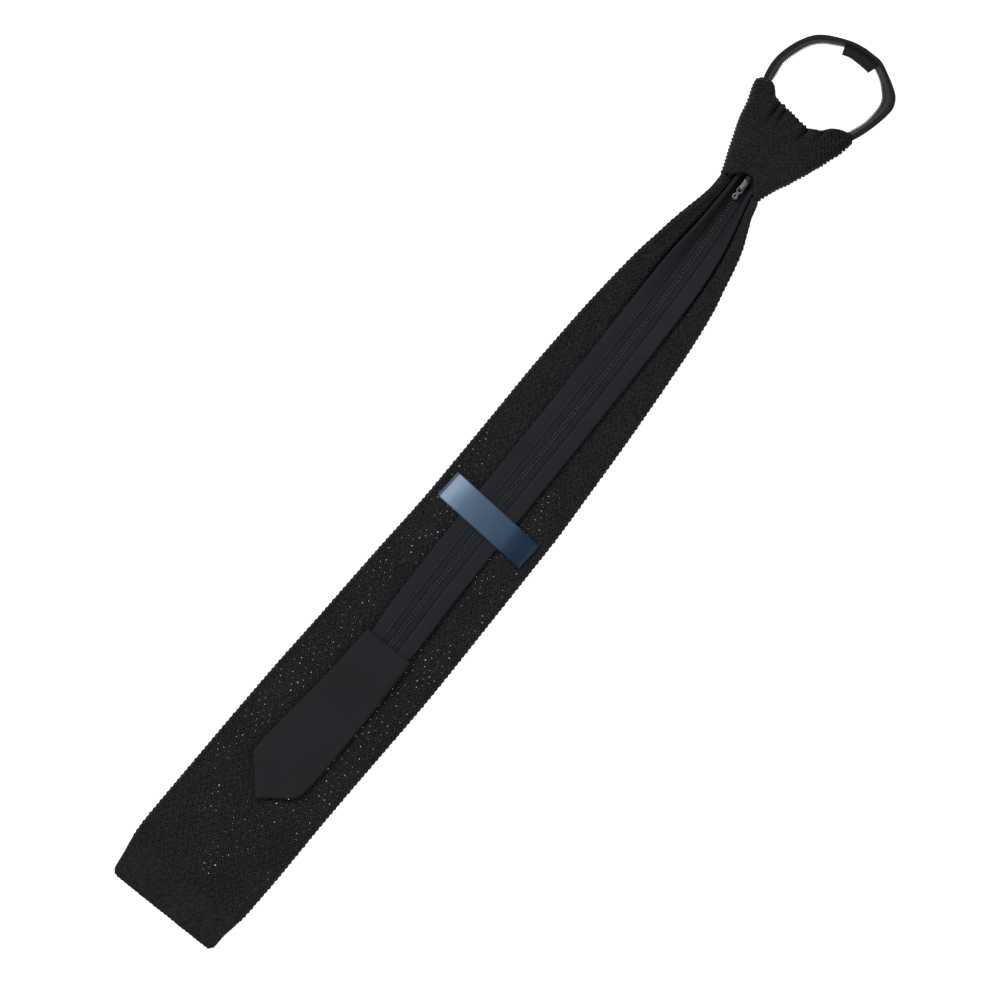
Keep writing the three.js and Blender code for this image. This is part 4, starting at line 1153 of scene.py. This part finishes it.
def sliderPiece():
    half, narrow = slide["width"] / 2, slide["topWidth"] / 2
    low = slide["low"]
    shoulders = (arc(0.1, low + 1.7, narrow, 215, 325) + [(narrow + 0.05, -17.4)]
                 + arc(0.2, -16.9, 1.0, 0, 80)
                 + [(0.15, -15.5)] + arc(-0.7, -14.9, 0.85, 0, 180) + [(-1.45, -17.5)])
    hook = arc(-0.62, -14.95, 0.36, 0, 350, 14)
    parts = [(pressedPlate("top", shoulders, [hook], slide["plate"], slide["round"]),
              Matrix.Translation((0, 0, sliderTop - slide["plate"] / 2)))]
    parts.append((pressedPlate("base", roundedOutline(-half, half, low, high, 1.2), [], slide["plate"],
                               slide["round"]), Matrix.Translation((0, 0, sliderBase + slide["plate"] / 2))))
    rise = sliderTop - sliderBase
    for sign in (-1, 1):
        wing = roundedOutline(-0.25, 0.25, low + 0.8, high - 3.6, 0.2)
        parts.append((pressedPlate("wing", wing, [], 1.3, 0.08),
                      Matrix.Translation((sign * (half - 0.25), 0, sliderBase + 0.9))))
    wedge = [(0, high - 2.3), (0.6, high - 0.2), (-0.6, high - 0.2)]
    parts.append((pressedPlate("wedge", wedge, [], rise, 0.1),
                  Matrix.Translation((0, 0, sliderBase + rise / 2))))
    a, b, h = slide["bridgeLow"], slide["bridgeLow"] + slide["bridgeLength"], slide["bridgeHeight"]
    bar, steps = slide["bar"], (-17.8, -17.95, -18.1, -18.25, -18.4, -19.3)
    arch = ([(b, -0.35)] + arc(b - 1.3, h - 1.3, 1.3, 0, 90) + [(y, h) for y in steps]
            + arc(a + 1.0, h - 1.0, 1.0, 90, 180) + [(a, -0.35)])
    under = ([(b - bar, 0.0)] + arc(b - 1.3, h - 1.3, 1.3 - bar, 0, 90) + [(y, h - bar) for y in steps]
             + arc(a + 1.0, h - 1.0, 1.0 - bar, 90, 180) + [(a + bar, 0.0)])
    strap = pressedPlate("bridge", arch, [under], slide["bridgeWidth"], slide["round"])
    for vertex in strap.vertices:  # the bridge widens over the slider's body and leans to the hook
        along = vertex.co.x
        vertex.co.z *= lerp(lerp(1, 1.75, smooth(along, -18.3, -17.7)), 0.8, smooth(along, -17.3, -15.9))
        vertex.co.z -= 0.6 * smooth(along, -17.9, -15.8)
    stand = Matrix(((0, 0, 1, 0), (1, 0, 0, 0), (0, 1, 0, sliderTop), (0, 0, 0, 1)))
    parts.append((strap, stand))
    return joinMeshes("sliderBody", parts, gunmetal)


def pullPiece():
    half, end, long = pullShape["width"] / 2, pullShape["thickness"] / 2, pullShape["length"]
    waist = pullShape["waist"] / 2
    outline = (arc(half - 0.5, end - 0.5, 0.5, 0, 90) + arc(0.5 - half, end - 0.5, 0.5, 90, 180)
               + [(-half, -1.7)] + arc(-half + 0.5, -2.35, 0.5, 180, 230)
               + [(-waist, -3.1), (-waist, -3.25)] + arc(0, half - long, half, 150, 390, 24)
               + [(waist, -3.25), (waist, -3.1)] + arc(half - 0.5, -2.35, 0.5, 310, 360) + [(half, -1.7)])
    window = roundedOutline(-half + 0.5, half - 0.5, -2.4, -end, 0.2)
    eye = arc(-0.15, half - long + 0.75, 0.36, 0, 180, 8) + arc(-0.15, half - long - 0.1, 0.36, 180, 360, 8)
    flat = pressedPlate("tab", outline, [window, eye], pullShape["thickness"], pullShape["round"])
    turn = Matrix.Translation(pullShape["pin"]) @ Matrix.Rotation(radians(pullShape["tilt"]), 4, "X")
    return joinMeshes("pullTab", [(flat, turn)], gunmetal)


sliderMade, pullMade = sliderPiece(), pullPiece()
belongs(sliderMade, "tie", "slider")
belongs(pullMade, "pull", "pull")
print("slider and pull pressed")

# floor, light and camera

def floor():
    made, tree = newMaterial("paleFloor")
    speck = grain(tree, objectSpot(tree), 300, 2)
    colour = mixColours(tree, speck, (0.34, 0.34, 0.34, 1), (0.36, 0.36, 0.36, 1))
    finishMaterial(tree, {"Base Color": colour, "Roughness": 0.9, "Emission Color": (1, 1, 1, 1),
                          "Emission Strength": 0.97})
    data = bpy.data.meshes.new("floor")
    data.from_pydata([(-3, -3, 0), (3, -3, 0), (3, 3, 0), (-3, 3, 0)], [], [(0, 1, 2, 3)])
    data.materials.append(made)
    plane = bpy.data.objects.new("floor", data)
    bpy.context.scene.collection.objects.link(plane)


def areaLight(name, place, target, size, power):
    data = bpy.data.lights.new(name, "AREA")
    data.shape, data.size, data.energy = "DISK", size, power
    made = bpy.data.objects.new(name, data)
    made.location = place
    made.rotation_euler = (Vector(target) - Vector(place)).to_track_quat("-Z", "Y").to_euler()
    bpy.context.scene.collection.objects.link(made)


floor()
studio = {"key": 22, "fill": 8, "world": 0.42}
areaLight("softKey", (-1.15, 0.15, 1.5), (0, -0.2, 0), 0.9, studio["key"])
areaLight("softFill", (1.1, -0.9, 1.5), (0, -0.2, 0), 1.4, studio["fill"])
world = bpy.data.worlds.new("studio")
world.use_nodes = True
world.node_tree.nodes["Background"].inputs["Color"].default_value = (1, 1, 1, 1)
world.node_tree.nodes["Background"].inputs["Strength"].default_value = studio["world"]
bpy.context.scene.world = world
bpy.context.scene.view_settings.view_transform = "Standard"

view = {"distance": 2.4, "across": 0.47, "centre": (0.003, -0.2052), "roll": 38.69}
cameraData = bpy.data.cameras.new("camera")
cameraData.type = "PERSP"
cameraData.sensor_width = 36
cameraData.lens = 36 * view["distance"] / view["across"]
cameraData.clip_end = 20
camera = bpy.data.objects.new("camera", cameraData)
camera.location = (view["centre"][0], view["centre"][1], view["distance"])
camera.rotation_euler = (0, 0, radians(view["roll"]))
bpy.context.scene.collection.objects.link(camera)
bpy.context.scene.camera = camera

print("scene done")
